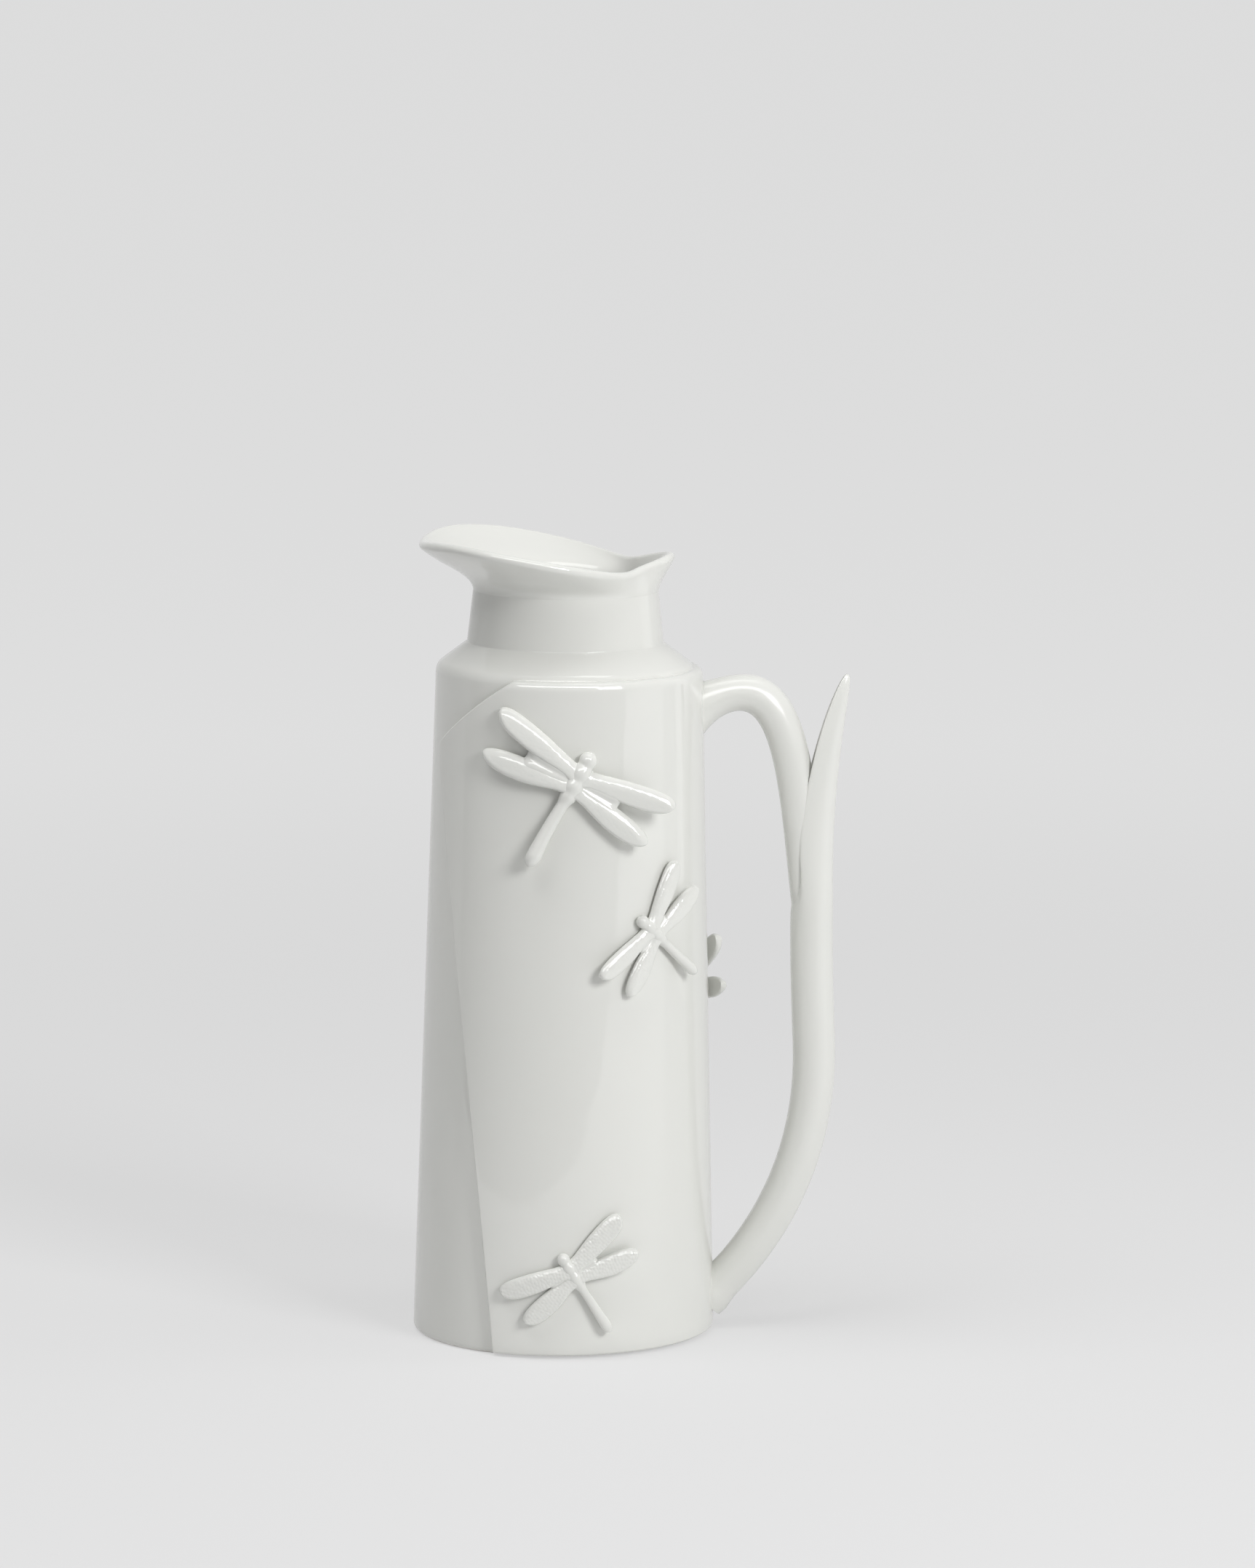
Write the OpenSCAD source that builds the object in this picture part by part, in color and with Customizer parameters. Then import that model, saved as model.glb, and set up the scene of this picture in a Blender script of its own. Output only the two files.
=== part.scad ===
// A tall porcelain carafe. A leaning, tapered vessel carries a flared pouring lip, an outer panel
// wrapped round all but the spout side, a forked stem handle and dragonflies laid on the panel.
// Millimetres, +Z up, origin at the middle of the foot. Spout along -X, handle along +X.

/* [Vessel] */
// Diameter of the vessel at the foot
foot_d = 103; // [92:1:120]
// Diameter where the side turns into the shoulder
shoulder_d = 90; // [80:1:98]
// Height of that turn
shoulder_h = 235; // [205:1:270]
// Lean of the vessel's axis towards the handle, in degrees
lean = 0.6; // [0:0.1:1.2]
// Thickness of the vessel's wall
wall = 4; // [3:0.5:5.5]
// Thickness of the floor
floor_t = 5; // [4:0.5:8]
// Rounding where the wall meets the floor, inside
floor_round = 9; // [4:1:14]
// Depth of the hollow under the foot
foot_hollow = 2.5; // [1.5:0.5:4]
// Width of the ring that the foot stands on
foot_ring_w = 6; // [4:1:10]
// Rounding of the foot's outer edge
foot_round = 2; // [1:0.5:3]
// Slope of the shoulder, degrees from level
shoulder_slope = 37; // [28:1:45]
// Rounding between side and shoulder
shoulder_round = 5; // [3:0.5:8]

/* [Neck] */
// Diameter of the neck where it leaves the shoulder
neck_d = 68.5; // [62:0.5:72]
// How much narrower the neck is under the lip
neck_taper = 3.9; // [0:0.1:6]
// Height of the neck
neck_h = 18; // [12:1:26]
// Fillet between shoulder and neck
neck_fillet = 5; // [2:0.5:8]

/* [Pouring lip] */
// How far the rim stands out past the neck's wall beside the spout
spout_reach = 21; // [14:0.5:25]
// How high the rim stands above the neck beside the spout
spout_rise = 17.2; // [12:0.2:24]
// How far the very tip of the spout draws back and dips
spout_dip = 1.8; // [0:0.2:4]
// How far the rim stands out at its waist, between spout and tail
waist_reach = 0.7; // [0:0.1:4]
// How high the rim stands at its waist
waist_rise = 7.6; // [6:0.2:12]
// How far the pointed tail stands out over the handle
tail_reach = 5.8; // [2:0.2:9]
// How high the pointed tail stands
tail_rise = 11.8; // [9:0.2:16]
// Thickness of the rim
rim_t = 3.2; // [2.4:0.2:4]

/* [Wrap panel] */
// Thickness of the panel
panel_t = 3; // [2:0.25:4]
// Distance of the panel's top below the turn of the shoulder
panel_drop = 0.5; // [0:0.25:3]
// Rounding of the panel's top edge
panel_round = 2.4; // [1:0.2:2.8]
// Height of the panel's lower edge above the table
panel_foot_gap = 0.6; // [0.4:0.1:2]
// Angle of the slanted edge from the front, at the foot
edge_foot_az = 25; // [15:1:35]
// Angle of the slanted edge from the front, at its upper corner
edge_corner_az = 64; // [55:1:75]
// How far the slanted edge bows out from a straight line
edge_bow = 2.4; // [0:0.2:4]
// Height that the sloping top corner takes off the panel
corner_rise = 24; // [15:1:35]
// Angle from the front where the sloping corner reaches the top
corner_end_az = 22; // [10:1:30]
// Rounding of the upper corner
corner_round = 7; // [3:1:12]

/* [Handle] */
// Gap for the fingers, between the panel and the grip
finger_gap = 29.3; // [24:0.5:40]
// Thickness of the grip, seen from the front
grip_t = 15; // [12:0.5:18]
// Depth of the grip, front to back
grip_depth = 15.4; // [13:0.2:18]
// Thickness of the stem at its foot
stem_foot_t = 13.9; // [11:0.1:18]
// Height at which the stem's foot joins the panel
stem_foot_h = 12.7; // [12:0.1:30]
// Rise of the stem as it leaves the panel, degrees from level
stem_foot_slope = 42; // [35:1:50]
// Height where the lower bend runs into the straight grip
grip_low_h = 100; // [85:1:120]
// Height of the leaf tip above the arch's root
tip_rise = 10.5; // [4:0.5:20]
// Length of the leaf that the stem narrows into
leaf_l = 80.5; // [60:0.5:95]
// How far the leaf tip leans out past the grip
tip_out = 11.3; // [4:0.1:20]
// Thickness of the arch at its crown
arch_t = 12.8; // [10:0.2:16]
// Depth of the arch, front to back
arch_depth = 12.6; // [10:0.2:13]
// Distance of the arch's root below the panel's top
arch_root_drop = 13.5; // [10:0.5:30]
// Lift of the arch's upper line above its root
arch_lift = 10.4; // [6:0.2:14]
// Height over which the arch runs down along the stem
arch_fall = 71; // [55:1:85]

/* [Dragonflies] */
// Top one: angle from the front
top_az = 5.5; // [-5:0.5:12]
// Top one: distance below the panel's top
top_drop = 33; // [28:0.5:50]
// Top one: heading right of upright
top_heading = 28; // [10:1:45]
// Top one: size
top_size = 1; // [0.6:0.01:1.1]
// Top one: how closely the left and the right wings follow the panel's curve, from flat to close
top_hug = [1, 0.1]; // [0:0.05:1]
// Top one: wing angles off the head, left fore, left hind, right fore, right hind
top_wings = [80, 100, 81, 102]; // [65:1:115]
// Middle one: angle from the front
middle_az = 36.7; // [30:0.1:45]
// Middle one: distance below the panel's top
middle_drop = 86.5; // [75:0.5:110]
// Middle one: heading right of upright
middle_heading = -49; // [-65:1:-25]
// Middle one: size
middle_size = 0.72; // [0.6:0.01:1.1]
// Middle one: how closely the left and the right wings follow the panel's curve, from flat to close
middle_hug = [0.25, 0.25]; // [0:0.05:1]
// Middle one: wing angles off the head, left fore, left hind, right fore, right hind
middle_wings = [79, 103, 75, 102]; // [65:1:115]
// Lower one: angle from the front
lower_az = 4.9; // [0:0.1:12]
// Lower one: height above the foot
lower_h = 30.5; // [28:0.5:60]
// Lower one: heading right of upright
lower_heading = -33; // [-50:1:-15]
// Lower one: size
lower_size = 0.73; // [0.6:0.01:1.1]
// Lower one: how closely the left and the right wings follow the panel's curve, from flat to close
lower_hug = [0.85, 0.4]; // [0:0.05:1]
// Lower one: wing angles off the head, left fore, left hind, right fore, right hind
lower_wings = [79, 102, 76, 104]; // [65:1:115]
// Rear one: angle from the front
rear_az = 127; // [120:1:140]
// Rear one: distance below the panel's top
rear_drop = 117.5; // [70:0.5:130]
// Rear one: heading right of upright
rear_heading = 14; // [-10:1:30]
// Rear one: size
rear_size = 0.9; // [0.6:0.01:1.1]
// Rear one: how closely the left and the right wings follow the panel's curve, from flat to close
rear_hug = [0.45, 0.45]; // [0:0.05:1]
// Rear one: wing angles off the head, left fore, left hind, right fore, right hind
rear_wings = [66, 92, 84, 106]; // [65:1:115]
// Length of a forewing at size 1
forewing_l = 32.5; // [24:0.5:36]
// Length of a hindwing at size 1
hindwing_l = 31; // [22:0.5:36]
// Greatest width of a wing at size 1
wing_w = 8.4; // [5:0.2:9]
// Thickness of a wing at size 1
wing_t = 2.8; // [1.6:0.1:3.2]
// Radius of the head at size 1
head_r = 3.1; // [2.4:0.1:3.4]
// Radius of the thorax beads at size 1
thorax_r = 3; // [2.6:0.1:3.6]
// Radius of the abdomen where it leaves the thorax, at size 1
abdomen_r = 2.1; // [1.5:0.1:2.5]
// Radius of the swollen end of the abdomen at size 1
tail_r = 2.5; // [2:0.1:3.2]
// Distance from the wing roots to the swollen end at size 1
tail_l = 31; // [24:0.5:34]

/* [Hidden] */
$fn = 96;

// Glazed porcelain white
PORCELAIN = [0.93, 0.93, 0.90];

// Vessel sizes that follow from the driving ones, measured along the leaning axis
foot_r = foot_d / 2;
shoulder_r = shoulder_d / 2;
neck_r = neck_d / 2;
neck_top_r = (neck_d - neck_taper) / 2;
neck_foot_s = shoulder_h + (shoulder_r - neck_r) * tan(shoulder_slope);
neck_top_s = neck_foot_s + neck_h;
floor_s = foot_hollow + floor_t;
hollow_r = foot_r - foot_ring_w;
hollow_draft = 1;
hollow_round = 1.2;
foot_skim = 0.1;
foot_drop = foot_r * sin(lean) + foot_skim;
arc_steps = 7;
// A block that is larger than the carafe, for cutting at the table
table_size = 3 * foot_d;
table_depth = 60;

function side_r(s) = foot_r + (shoulder_r - foot_r) * s / shoulder_h;
side_taper = atan((foot_r - shoulder_r) / shoulder_h);

// Panel sizes
panel_top_s = shoulder_h - panel_drop;
corner_s = panel_top_s - corner_rise;
// The panel's edge is cut square to its surface at this angle from the front
cut_az = 52;
cut_margin = 8;
cut_far = 1.2 * foot_d;
edge_steps = 8;
function panel_r(s) = side_r(s) + panel_t;
// Offset of a point of the panel sideways from the cutting direction
function cut_offset(az, s) = panel_r(s) * sin(cut_az - az);

// Plane geometry
function unit(v) = v / norm(v);
function half_turn(a) = a - 360 * round(a / 360);
function arc(centre, r, from, sweep) =
    [for (i = [0 : arc_steps]) let (a = from + sweep * i / arc_steps) centre + r * [cos(a), sin(a)]];
// The corner at b, between a and c, replaced by an arc that is tangent to both lines
function corner(a, b, c, r) =
    let (
        u = unit(a - b),
        v = unit(c - b),
        half = acos(u * v) / 2,
        centre = b + unit(u + v) * r / sin(half),
        p = b + u * r / tan(half) - centre,
        q = b + v * r / tan(half) - centre,
        from = atan2(p.y, p.x)
    )
    arc(centre, r, from, half_turn(atan2(q.y, q.x) - from));
// A closed outline of [x, y, rounding] points with its corners rounded
function rounded(path) =
    let (n = len(path))
    [for (i = [0 : n - 1])
        let (
            a = path[(i + n - 1) % n],
            b = path[i],
            c = path[(i + 1) % n],
            here = [b.x, b.y]
        )
        each (b.z == 0 ? [here] : corner([a.x, a.y], here, [c.x, c.y], b.z))];

// Soft step from 0 to 1
function ease(t) = let (c = min(max(t, 0), 1)) c * c * (3 - 2 * c);
function cubic(p, t) =
    pow(1 - t, 3) * p[0] + 3 * t * pow(1 - t, 2) * p[1] + 3 * t * t * (1 - t) * p[2] + pow(t, 3) * p[3];
function cubic_dir(p, t) =
    unit(pow(1 - t, 2) * (p[1] - p[0]) + 2 * t * (1 - t) * (p[2] - p[1]) + t * t * (p[3] - p[2]));

// A closed solid through rings of the same count of points, with flat ends
module loft(rings) {
    n = len(rings[0]);
    m = len(rings);
    sides = [for (i = [0 : m - 2], j = [0 : n - 1])
        let (
            a = i * n + j,
            b = i * n + (j + 1) % n,
            c = a + n,
            d = b + n
        )
        each [[a, c, b], [b, c, d]]];
    ends = [[for (j = [0 : n - 1]) j], [for (j = [n - 1 : -1 : 0]) (m - 1) * n + j]];
    polyhedron(points = [for (r = rings) each r], faces = concat(sides, ends));
}

// A closed band through rings, joined from the last ring to the first
module loft_band(rings) {
    n = len(rings[0]);
    m = len(rings);
    polyhedron(
        points = [for (r = rings) each r],
        faces = [for (i = [0 : m - 1], j = [0 : n - 1])
            let (
                a = i * n + j,
                b = i * n + (j + 1) % n,
                c = ((i + 1) % m) * n + j,
                d = ((i + 1) % m) * n + (j + 1) % n
            )
            each [[a, b, c], [b, d, c]]]
    );
}

// The vessel leans a little towards the handle, and everything fixed to it leans with it
module leaning() {
    rotate([0, lean, 0]) children();
}

module below(z) {
    translate([-table_size / 2, -table_size / 2, z - table_depth])
        cube([table_size, table_size, table_depth]);
}

// Vessel

inner_drop = wall / cos(shoulder_slope) - wall * tan(shoulder_slope);
inner_shoulder_round = max(shoulder_round - wall, 1);

vessel_outside = [
    [side_r(-foot_drop), -foot_drop, foot_round],
    [shoulder_r, shoulder_h, shoulder_round],
    [neck_r, neck_foot_s, neck_fillet],
    [neck_top_r, neck_top_s, 0]
];
vessel_inside = [
    [neck_top_r - wall, neck_top_s, 0],
    [neck_r - wall, neck_foot_s - inner_drop, neck_fillet + wall],
    [shoulder_r - wall, shoulder_h - inner_drop, inner_shoulder_round],
    [side_r(floor_s) - wall, floor_s, floor_round],
    [0, floor_s, 0]
];
vessel_underside = [
    [0, foot_hollow, 0],
    [hollow_r, foot_hollow, hollow_round],
    [hollow_r + hollow_draft, -foot_drop, 0]
];

module vessel_body() {
    color(PORCELAIN) difference() {
        leaning() rotate_extrude()
            polygon(rounded(concat(vessel_underside, vessel_outside, vessel_inside)));
        below(0);
    }
}

// The space that the vessel fills up to its outside, for seating what lies on it
module vessel_solid() {
    leaning() rotate_extrude()
        polygon(rounded(concat([[0, -foot_drop, 0]], vessel_outside, [[0, neck_top_s, 0]])));
}

// The space up to the panel's outside, as far up as the panel goes
module panel_solid() {
    leaning() rotate_extrude()
        polygon(rounded([
            [0, -foot_drop, 0],
            [panel_r(-foot_drop), -foot_drop, 0],
            [panel_r(panel_top_s), panel_top_s, panel_round],
            [0, panel_top_s, 0]
        ]));
}

// Pouring lip

// Angles from the tail round to the spout over which the rim widens and climbs
widen_az = [30, 130];
climb_az = [50, 140];
tip_az = [140, 180];
tail_reach_az = 24;
tail_rise_az = 30;
lip_sides = 72;
lip_steps = 5;
// Where the flare bends, as shares of its reach and rise
flare_bend = [0.35, 0.55];

function span(az, range) = ease((az - range[0]) / (range[1] - range[0]));
function lip_reach(az) =
    waist_reach
    + (spout_reach - waist_reach) * span(az, widen_az)
    - spout_dip * span(az, tip_az)
    + (tail_reach - waist_reach) * (1 - ease(az / tail_reach_az));
function lip_rise(az) =
    waist_rise
    + (spout_rise - waist_rise) * span(az, climb_az)
    - spout_dip * span(az, tip_az)
    + (tail_rise - waist_rise) * (1 - ease(az / tail_rise_az));
// Middle of the lip's wall, from its seat (t = 0) to its rim (t = 1)
function lip_middle(end, t) =
    let (bend = [end.x * flare_bend.x, end.y * flare_bend.y])
    [neck_top_r - wall / 2, 0] + 2 * t * (1 - t) * bend + t * t * end;
function lip_dir(end, t) =
    let (bend = [end.x * flare_bend.x, end.y * flare_bend.y])
    unit((1 - 2 * t) * bend + t * end);
// A point on the lip's wall, on its outside (side = 1) or its inside (side = -1)
function lip_face(end, t, side) =
    let (d = lip_dir(end, t), half = (wall + (rim_t - wall) * t) / 2)
    t == 0 ? [neck_top_r - wall / 2 + side * wall / 2, 0] : lip_middle(end, t) + side * half * [d.y, -d.x];
function lip_section(az) =
    let (end = [lip_reach(az), lip_rise(az)], d = lip_dir(end, 1))
    concat(
        [for (i = [0 : lip_steps]) lip_face(end, i / lip_steps, 1)],
        [for (a = [45 : 45 : 135])
            lip_middle(end, 1) + rim_t / 2 * (cos(a) * [d.y, -d.x] + sin(a) * d)],
        [for (i = [lip_steps : -1 : 0]) lip_face(end, i / lip_steps, -1)]
    );
function lip_ring(turn) =
    [for (p = lip_section(abs(half_turn(turn)))) [p.x * cos(turn), p.x * sin(turn), neck_top_s + p.y]];

module pouring_lip() {
    color(PORCELAIN) leaning()
        loft_band([for (i = [0 : lip_sides - 1]) lip_ring(360 * i / lip_sides)]);
}

// Wrap panel

edge_foot = [cut_offset(edge_foot_az, 0), 0];
edge_corner = [cut_offset(edge_corner_az, corner_s), corner_s];
edge_end = [cut_offset(corner_end_az, panel_top_s), panel_top_s];
function edge_point(t) = edge_foot + (edge_corner - edge_foot) * t + [4 * edge_bow * t * (1 - t), 0];
// Outline of what is cut away beside the spout, seen square to the cut
panel_cut_outline = concat(
    [[edge_point(-0.05).x, -cut_margin, 0]],
    [for (i = [0 : edge_steps - 1]) let (p = edge_point(i / edge_steps)) [p.x, p.y, 0]],
    [
        [edge_corner.x, edge_corner.y, corner_round],
        [edge_end.x, edge_end.y, 0],
        [edge_end.x + cut_margin, edge_end.y + cut_margin, 0],
        [-cut_far, panel_top_s + cut_margin, 0],
        [-cut_far, -cut_margin, 0]
    ]
);

// The front half of the cut
module panel_cut() {
    intersection() {
        leaning() rotate([0, 0, -cut_az]) rotate([90, 0, 0])
            linear_extrude(height = foot_d) polygon(rounded(panel_cut_outline));
        translate([-table_size, -table_size, -table_size])
            cube([2 * table_size, table_size, 3 * table_size]);
    }
}

module wrap_panel() {
    color(PORCELAIN) difference() {
        panel_solid();
        vessel_solid();
        panel_cut();
        mirror([0, 1, 0]) panel_cut();
        below(panel_foot_gap);
    }
}

// Handle

// The panel's outside on the handle side, at a height
function wall_x(z) = z * tan(lean) + panel_r(z);
grip_x = wall_x(grip_low_h) + finger_gap + grip_t / 2;
arch_root_h = panel_top_s - arch_root_drop;
tip_h = arch_root_h + tip_rise;
taper_h = tip_h - leaf_l;
// How far the handle's ends run into the panel before they are cut to its face
root_sink = wall;
stem_sides = 16;
bend_rings = 12;
leaf_rings = 18;
tip_share = 0.985;

stem_start = [wall_x(stem_foot_h), stem_foot_h]
    - root_sink * [cos(stem_foot_slope), sin(stem_foot_slope)];
bend_pull = 0.54 * grip_low_h;
bend_reach = 0.09 * grip_low_h;
bend_path = [
    stem_start,
    stem_start + bend_pull * [cos(stem_foot_slope), sin(stem_foot_slope)],
    [grip_x, grip_low_h - bend_reach],
    [grip_x, grip_low_h]
];
// The grip bows in a little, then its leaf tip leans out
grip_bow = [0.1 * grip_t, 0.233 * grip_t];
leaf_reach = 0.4 * grip_low_h;
leaf_pull = 0.565 * leaf_l;
leaf_path = [
    [grip_x, grip_low_h],
    [grip_x - grip_bow[0], grip_low_h + leaf_reach],
    [grip_x - grip_bow[1], tip_h - leaf_pull],
    [grip_x + tip_out, tip_h]
];
taper_power = 0.45;
depth_power = 0.5;
function leaf_left(z) = 1 - min(max((z - taper_h) / (tip_h - taper_h), 0), 1);

// A ring of a stem in the XZ plane: centre, direction, half thickness, half depth
function stem_ring(c, d, half_t, half_d) =
    [for (j = [0 : stem_sides - 1])
        let (a = 360 * j / stem_sides, side = half_t * cos(a))
        [c.x + d.y * side, half_d * sin(a), c.y - d.x * side]];
function bend_ring(t) =
    stem_ring(
        cubic(bend_path, t), cubic_dir(bend_path, t),
        (stem_foot_t + (grip_t - stem_foot_t) * t) / 2, grip_depth / 2
    );
function leaf_ring(t) =
    let (c = cubic(leaf_path, t), left = leaf_left(c.y))
    stem_ring(
        c, cubic_dir(leaf_path, t),
        grip_t / 2 * pow(left, taper_power), grip_depth / 2 * pow(left, depth_power)
    );

module stem_sweep() {
    loft(concat(
        [for (i = [0 : bend_rings - 1]) bend_ring(i / bend_rings)],
        [for (i = [0 : leaf_rings]) leaf_ring(tip_share * sin(90 * i / leaf_rings))]
    ));
}

module handle_stem() {
    color(PORCELAIN) difference() {
        stem_sweep();
        panel_solid();
    }
}

// The arch lies between an upper and a lower line. Both leave the panel, run level over the crown and
// fall along the inside of the stem, and they part where the arch flows into the panel.
arch_rings = 12;
function arch_x(share) = wall_x(arch_root_h) + share * (grip_x - wall_x(arch_root_h));
// A point at a share of the way from the panel to the grip, and a lift above the root
function arch_at(share, lift) = [arch_x(share), arch_root_h + lift];
low_crown = arch_lift - arch_t;
upper_crown_share = 0.363;
lower_crown_share = 0.327;
root_top = 0.73 * arch_lift;
root_low = -1.4 * arch_t;
root_rise = -0.74 * arch_t;
upper_lines = [
    [
        arch_at(0, root_top) - [root_sink, 0], arch_at(0.033, root_top),
        arch_at(0.162, arch_lift), arch_at(upper_crown_share, arch_lift)
    ],
    [
        arch_at(upper_crown_share, arch_lift), arch_at(1.01, arch_lift),
        arch_at(1.05, -0.507 * arch_fall), arch_at(1.02, -arch_fall)
    ]
];
lower_lines = [
    [
        arch_at(0, root_low) - [root_sink, 0], arch_at(-0.013, root_rise),
        arch_at(0.149, low_crown), arch_at(lower_crown_share, low_crown)
    ],
    [
        arch_at(lower_crown_share, low_crown), arch_at(0.676, low_crown),
        arch_at(0.707, -0.648 * arch_fall), arch_at(0.805, -1.056 * arch_fall)
    ]
];
// How much deeper the arch is at its root, and how much it narrows inside the stem
root_flare = 0.3;
end_taper = 0.15;
// A ring of the arch on one of its two pairs of lines
function arch_ring(part, t) =
    let (
        upper = cubic(upper_lines[part], t),
        lower = cubic(lower_lines[part], t),
        centre = (upper + lower) / 2,
        half = (upper - lower) / 2,
        share = part == 0 ? 1 + root_flare * pow(1 - t, 3) : 1 - end_taper * t * t
    )
    [for (j = [0 : stem_sides - 1])
        let (a = 360 * j / stem_sides, p = centre - half * cos(a))
        [p.x, share * arch_depth / 2 * sin(a), p.y]];

module handle_arch() {
    color(PORCELAIN) difference() {
        loft(concat(
            [for (i = [0 : arch_rings - 1]) arch_ring(0, i / arch_rings)],
            [for (i = [0 : arch_rings]) arch_ring(1, i / arch_rings)]
        ));
        panel_solid();
        stem_sweep();
    }
}

// Dragonflies

// Angle, height, heading, size and hug of each
top_place = [top_az, panel_top_s - top_drop, top_heading, top_size, top_hug];
middle_place = [middle_az, panel_top_s - middle_drop, middle_heading, middle_size, middle_hug];
lower_place = [lower_az, lower_h, lower_heading, lower_size, lower_hug];
rear_place = [rear_az, panel_top_s - rear_drop, rear_heading, rear_size, rear_hug];
// Height of the body's axis above the panel, as a share of the thorax radius
perch = 0.75;
axis_n = perch * thorax_r;
// Flats on the thorax that the wing roots seat on
land = 0.67 * thorax_r;
land_reach = 1.57 * thorax_r;
// Stations along the body: head, two thorax beads, the waist bead and the start of the abdomen
head_y = 2.5 * thorax_r;
fore_bead_y = 0.87 * thorax_r;
hind_bead_y = -0.83 * thorax_r;
waist_y = -2.4 * thorax_r;
waist_r = 0.8 * thorax_r;
abdomen_y = -3 * thorax_r;
// Where the wings spring from the thorax, along the body
fore_root_y = 0.8 * thorax_r;
hind_root_y = -0.77 * thorax_r;
// Share of a wing's length at which it is widest, and the share of its width at the root
wide_at = 0.74;
root_share = 0.5;
// How blunt a wing's end is: 2 for an ellipse, more for a fuller end
end_power = 3;
wing_rings = 12;
wing_sides = 10;
wing_end = 0.985;

// Stand on the panel at a place, with +Y along the body to the head and +Z off the panel
module on_panel(place) {
    leaning() rotate([0, 0, place[0]]) translate([0, -panel_r(place[1]), place[1]])
        rotate([90 - side_taper, 0, 0]) rotate([0, 0, -place[2]]) children();
}

function bead(y, r, from, to) =
    [for (i = [0 : arc_steps]) let (a = from + (to - from) * i / arc_steps) [r * sin(a), y + r * cos(a)]];
dragonfly_profile = concat(
    bead(head_y, head_r, 0, 140),
    bead(fore_bead_y, thorax_r, 42, 131),
    bead(hind_bead_y, thorax_r, 49, 131),
    bead(waist_y, waist_r, 60, 118),
    [[abdomen_r, abdomen_y]],
    bead(-tail_l, tail_r, 80, 180)
);

module dragonfly_body(place) {
    color(PORCELAIN) difference() {
        on_panel(place) scale(place[3]) translate([0, 0, axis_n]) difference() {
            rotate([-90, 0, 0]) rotate_extrude() polygon(dragonfly_profile);
            for (side = [0, 1]) mirror([side, 0, 0])
                translate([land, -land_reach, -thorax_r]) cube([thorax_r, 2 * land_reach, 2 * thorax_r]);
        }
        panel_solid();
    }
}

function wing_shape(t) =
    t < wide_at
        ? root_share + (1 - root_share) * ease(t / wide_at)
        : sqrt(1 - pow((t - wide_at) / (1 - wide_at), end_power));
// A ring of a right wing, bent back towards the panel. Side is -1 when it will be mirrored to the left
function wing_ring(t, length, angle, root_y, place, side) =
    let (
        heading = place[2],
        bend = place[3] * place[4][side < 0 ? 0 : 1] / shoulder_r,
        x = land + t * length * sin(angle),
        y = root_y + t * length * cos(angle),
        across = side * x * cos(heading) + y * sin(heading),
        start = side * land * cos(heading) + root_y * sin(heading),
        n = axis_n - bend * (across * across - start * start) / 2,
        chord = wing_w / 2 * wing_shape(t),
        half_t = wing_t / 2 * (t < wide_at ? 1 : wing_shape(t))
    )
    [for (j = [0 : wing_sides - 1])
        let (a = 360 * j / wing_sides) [x, y + chord * cos(a), n + half_t * sin(a)]];

module wing(place, angle, length, root_y, side) {
    color(PORCELAIN) on_panel(place) scale(place[3]) mirror([side < 0 ? 1 : 0, 0, 0])
        loft([for (i = [0 : wing_rings])
            wing_ring(wing_end * sin(90 * i / wing_rings), length, angle, root_y, place, side)]);
}
module left_forewing(place, angles) { wing(place, angles[0], forewing_l, fore_root_y, -1); }
module left_hindwing(place, angles) { wing(place, angles[1], hindwing_l, hind_root_y, -1); }
module right_forewing(place, angles) { wing(place, angles[2], forewing_l, fore_root_y, 1); }
module right_hindwing(place, angles) { wing(place, angles[3], hindwing_l, hind_root_y, 1); }

module dragonfly_top_body() { dragonfly_body(top_place); }
module dragonfly_top_left_forewing() { left_forewing(top_place, top_wings); }
module dragonfly_top_left_hindwing() { left_hindwing(top_place, top_wings); }
module dragonfly_top_right_forewing() { right_forewing(top_place, top_wings); }
module dragonfly_top_right_hindwing() { right_hindwing(top_place, top_wings); }

module dragonfly_middle_body() { dragonfly_body(middle_place); }
module dragonfly_middle_left_forewing() { left_forewing(middle_place, middle_wings); }
module dragonfly_middle_left_hindwing() { left_hindwing(middle_place, middle_wings); }
module dragonfly_middle_right_forewing() { right_forewing(middle_place, middle_wings); }
module dragonfly_middle_right_hindwing() { right_hindwing(middle_place, middle_wings); }

module dragonfly_lower_body() { dragonfly_body(lower_place); }
module dragonfly_lower_left_forewing() { left_forewing(lower_place, lower_wings); }
module dragonfly_lower_left_hindwing() { left_hindwing(lower_place, lower_wings); }
module dragonfly_lower_right_forewing() { right_forewing(lower_place, lower_wings); }
module dragonfly_lower_right_hindwing() { right_hindwing(lower_place, lower_wings); }

module dragonfly_rear_body() { dragonfly_body(rear_place); }
module dragonfly_rear_left_forewing() { left_forewing(rear_place, rear_wings); }
module dragonfly_rear_left_hindwing() { left_hindwing(rear_place, rear_wings); }
module dragonfly_rear_right_forewing() { right_forewing(rear_place, rear_wings); }
module dragonfly_rear_right_hindwing() { right_hindwing(rear_place, rear_wings); }

vessel_body();
pouring_lip();
wrap_panel();
handle_stem();
handle_arch();
dragonfly_top_body();
dragonfly_top_left_forewing();
dragonfly_top_left_hindwing();
dragonfly_top_right_forewing();
dragonfly_top_right_hindwing();
dragonfly_middle_body();
dragonfly_middle_left_forewing();
dragonfly_middle_left_hindwing();
dragonfly_middle_right_forewing();
dragonfly_middle_right_hindwing();
dragonfly_lower_body();
dragonfly_lower_left_forewing();
dragonfly_lower_left_hindwing();
dragonfly_lower_right_forewing();
dragonfly_lower_right_hindwing();
dragonfly_rear_body();
dragonfly_rear_left_forewing();
dragonfly_rear_left_hindwing();
dragonfly_rear_right_forewing();
dragonfly_rear_right_hindwing();
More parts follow.
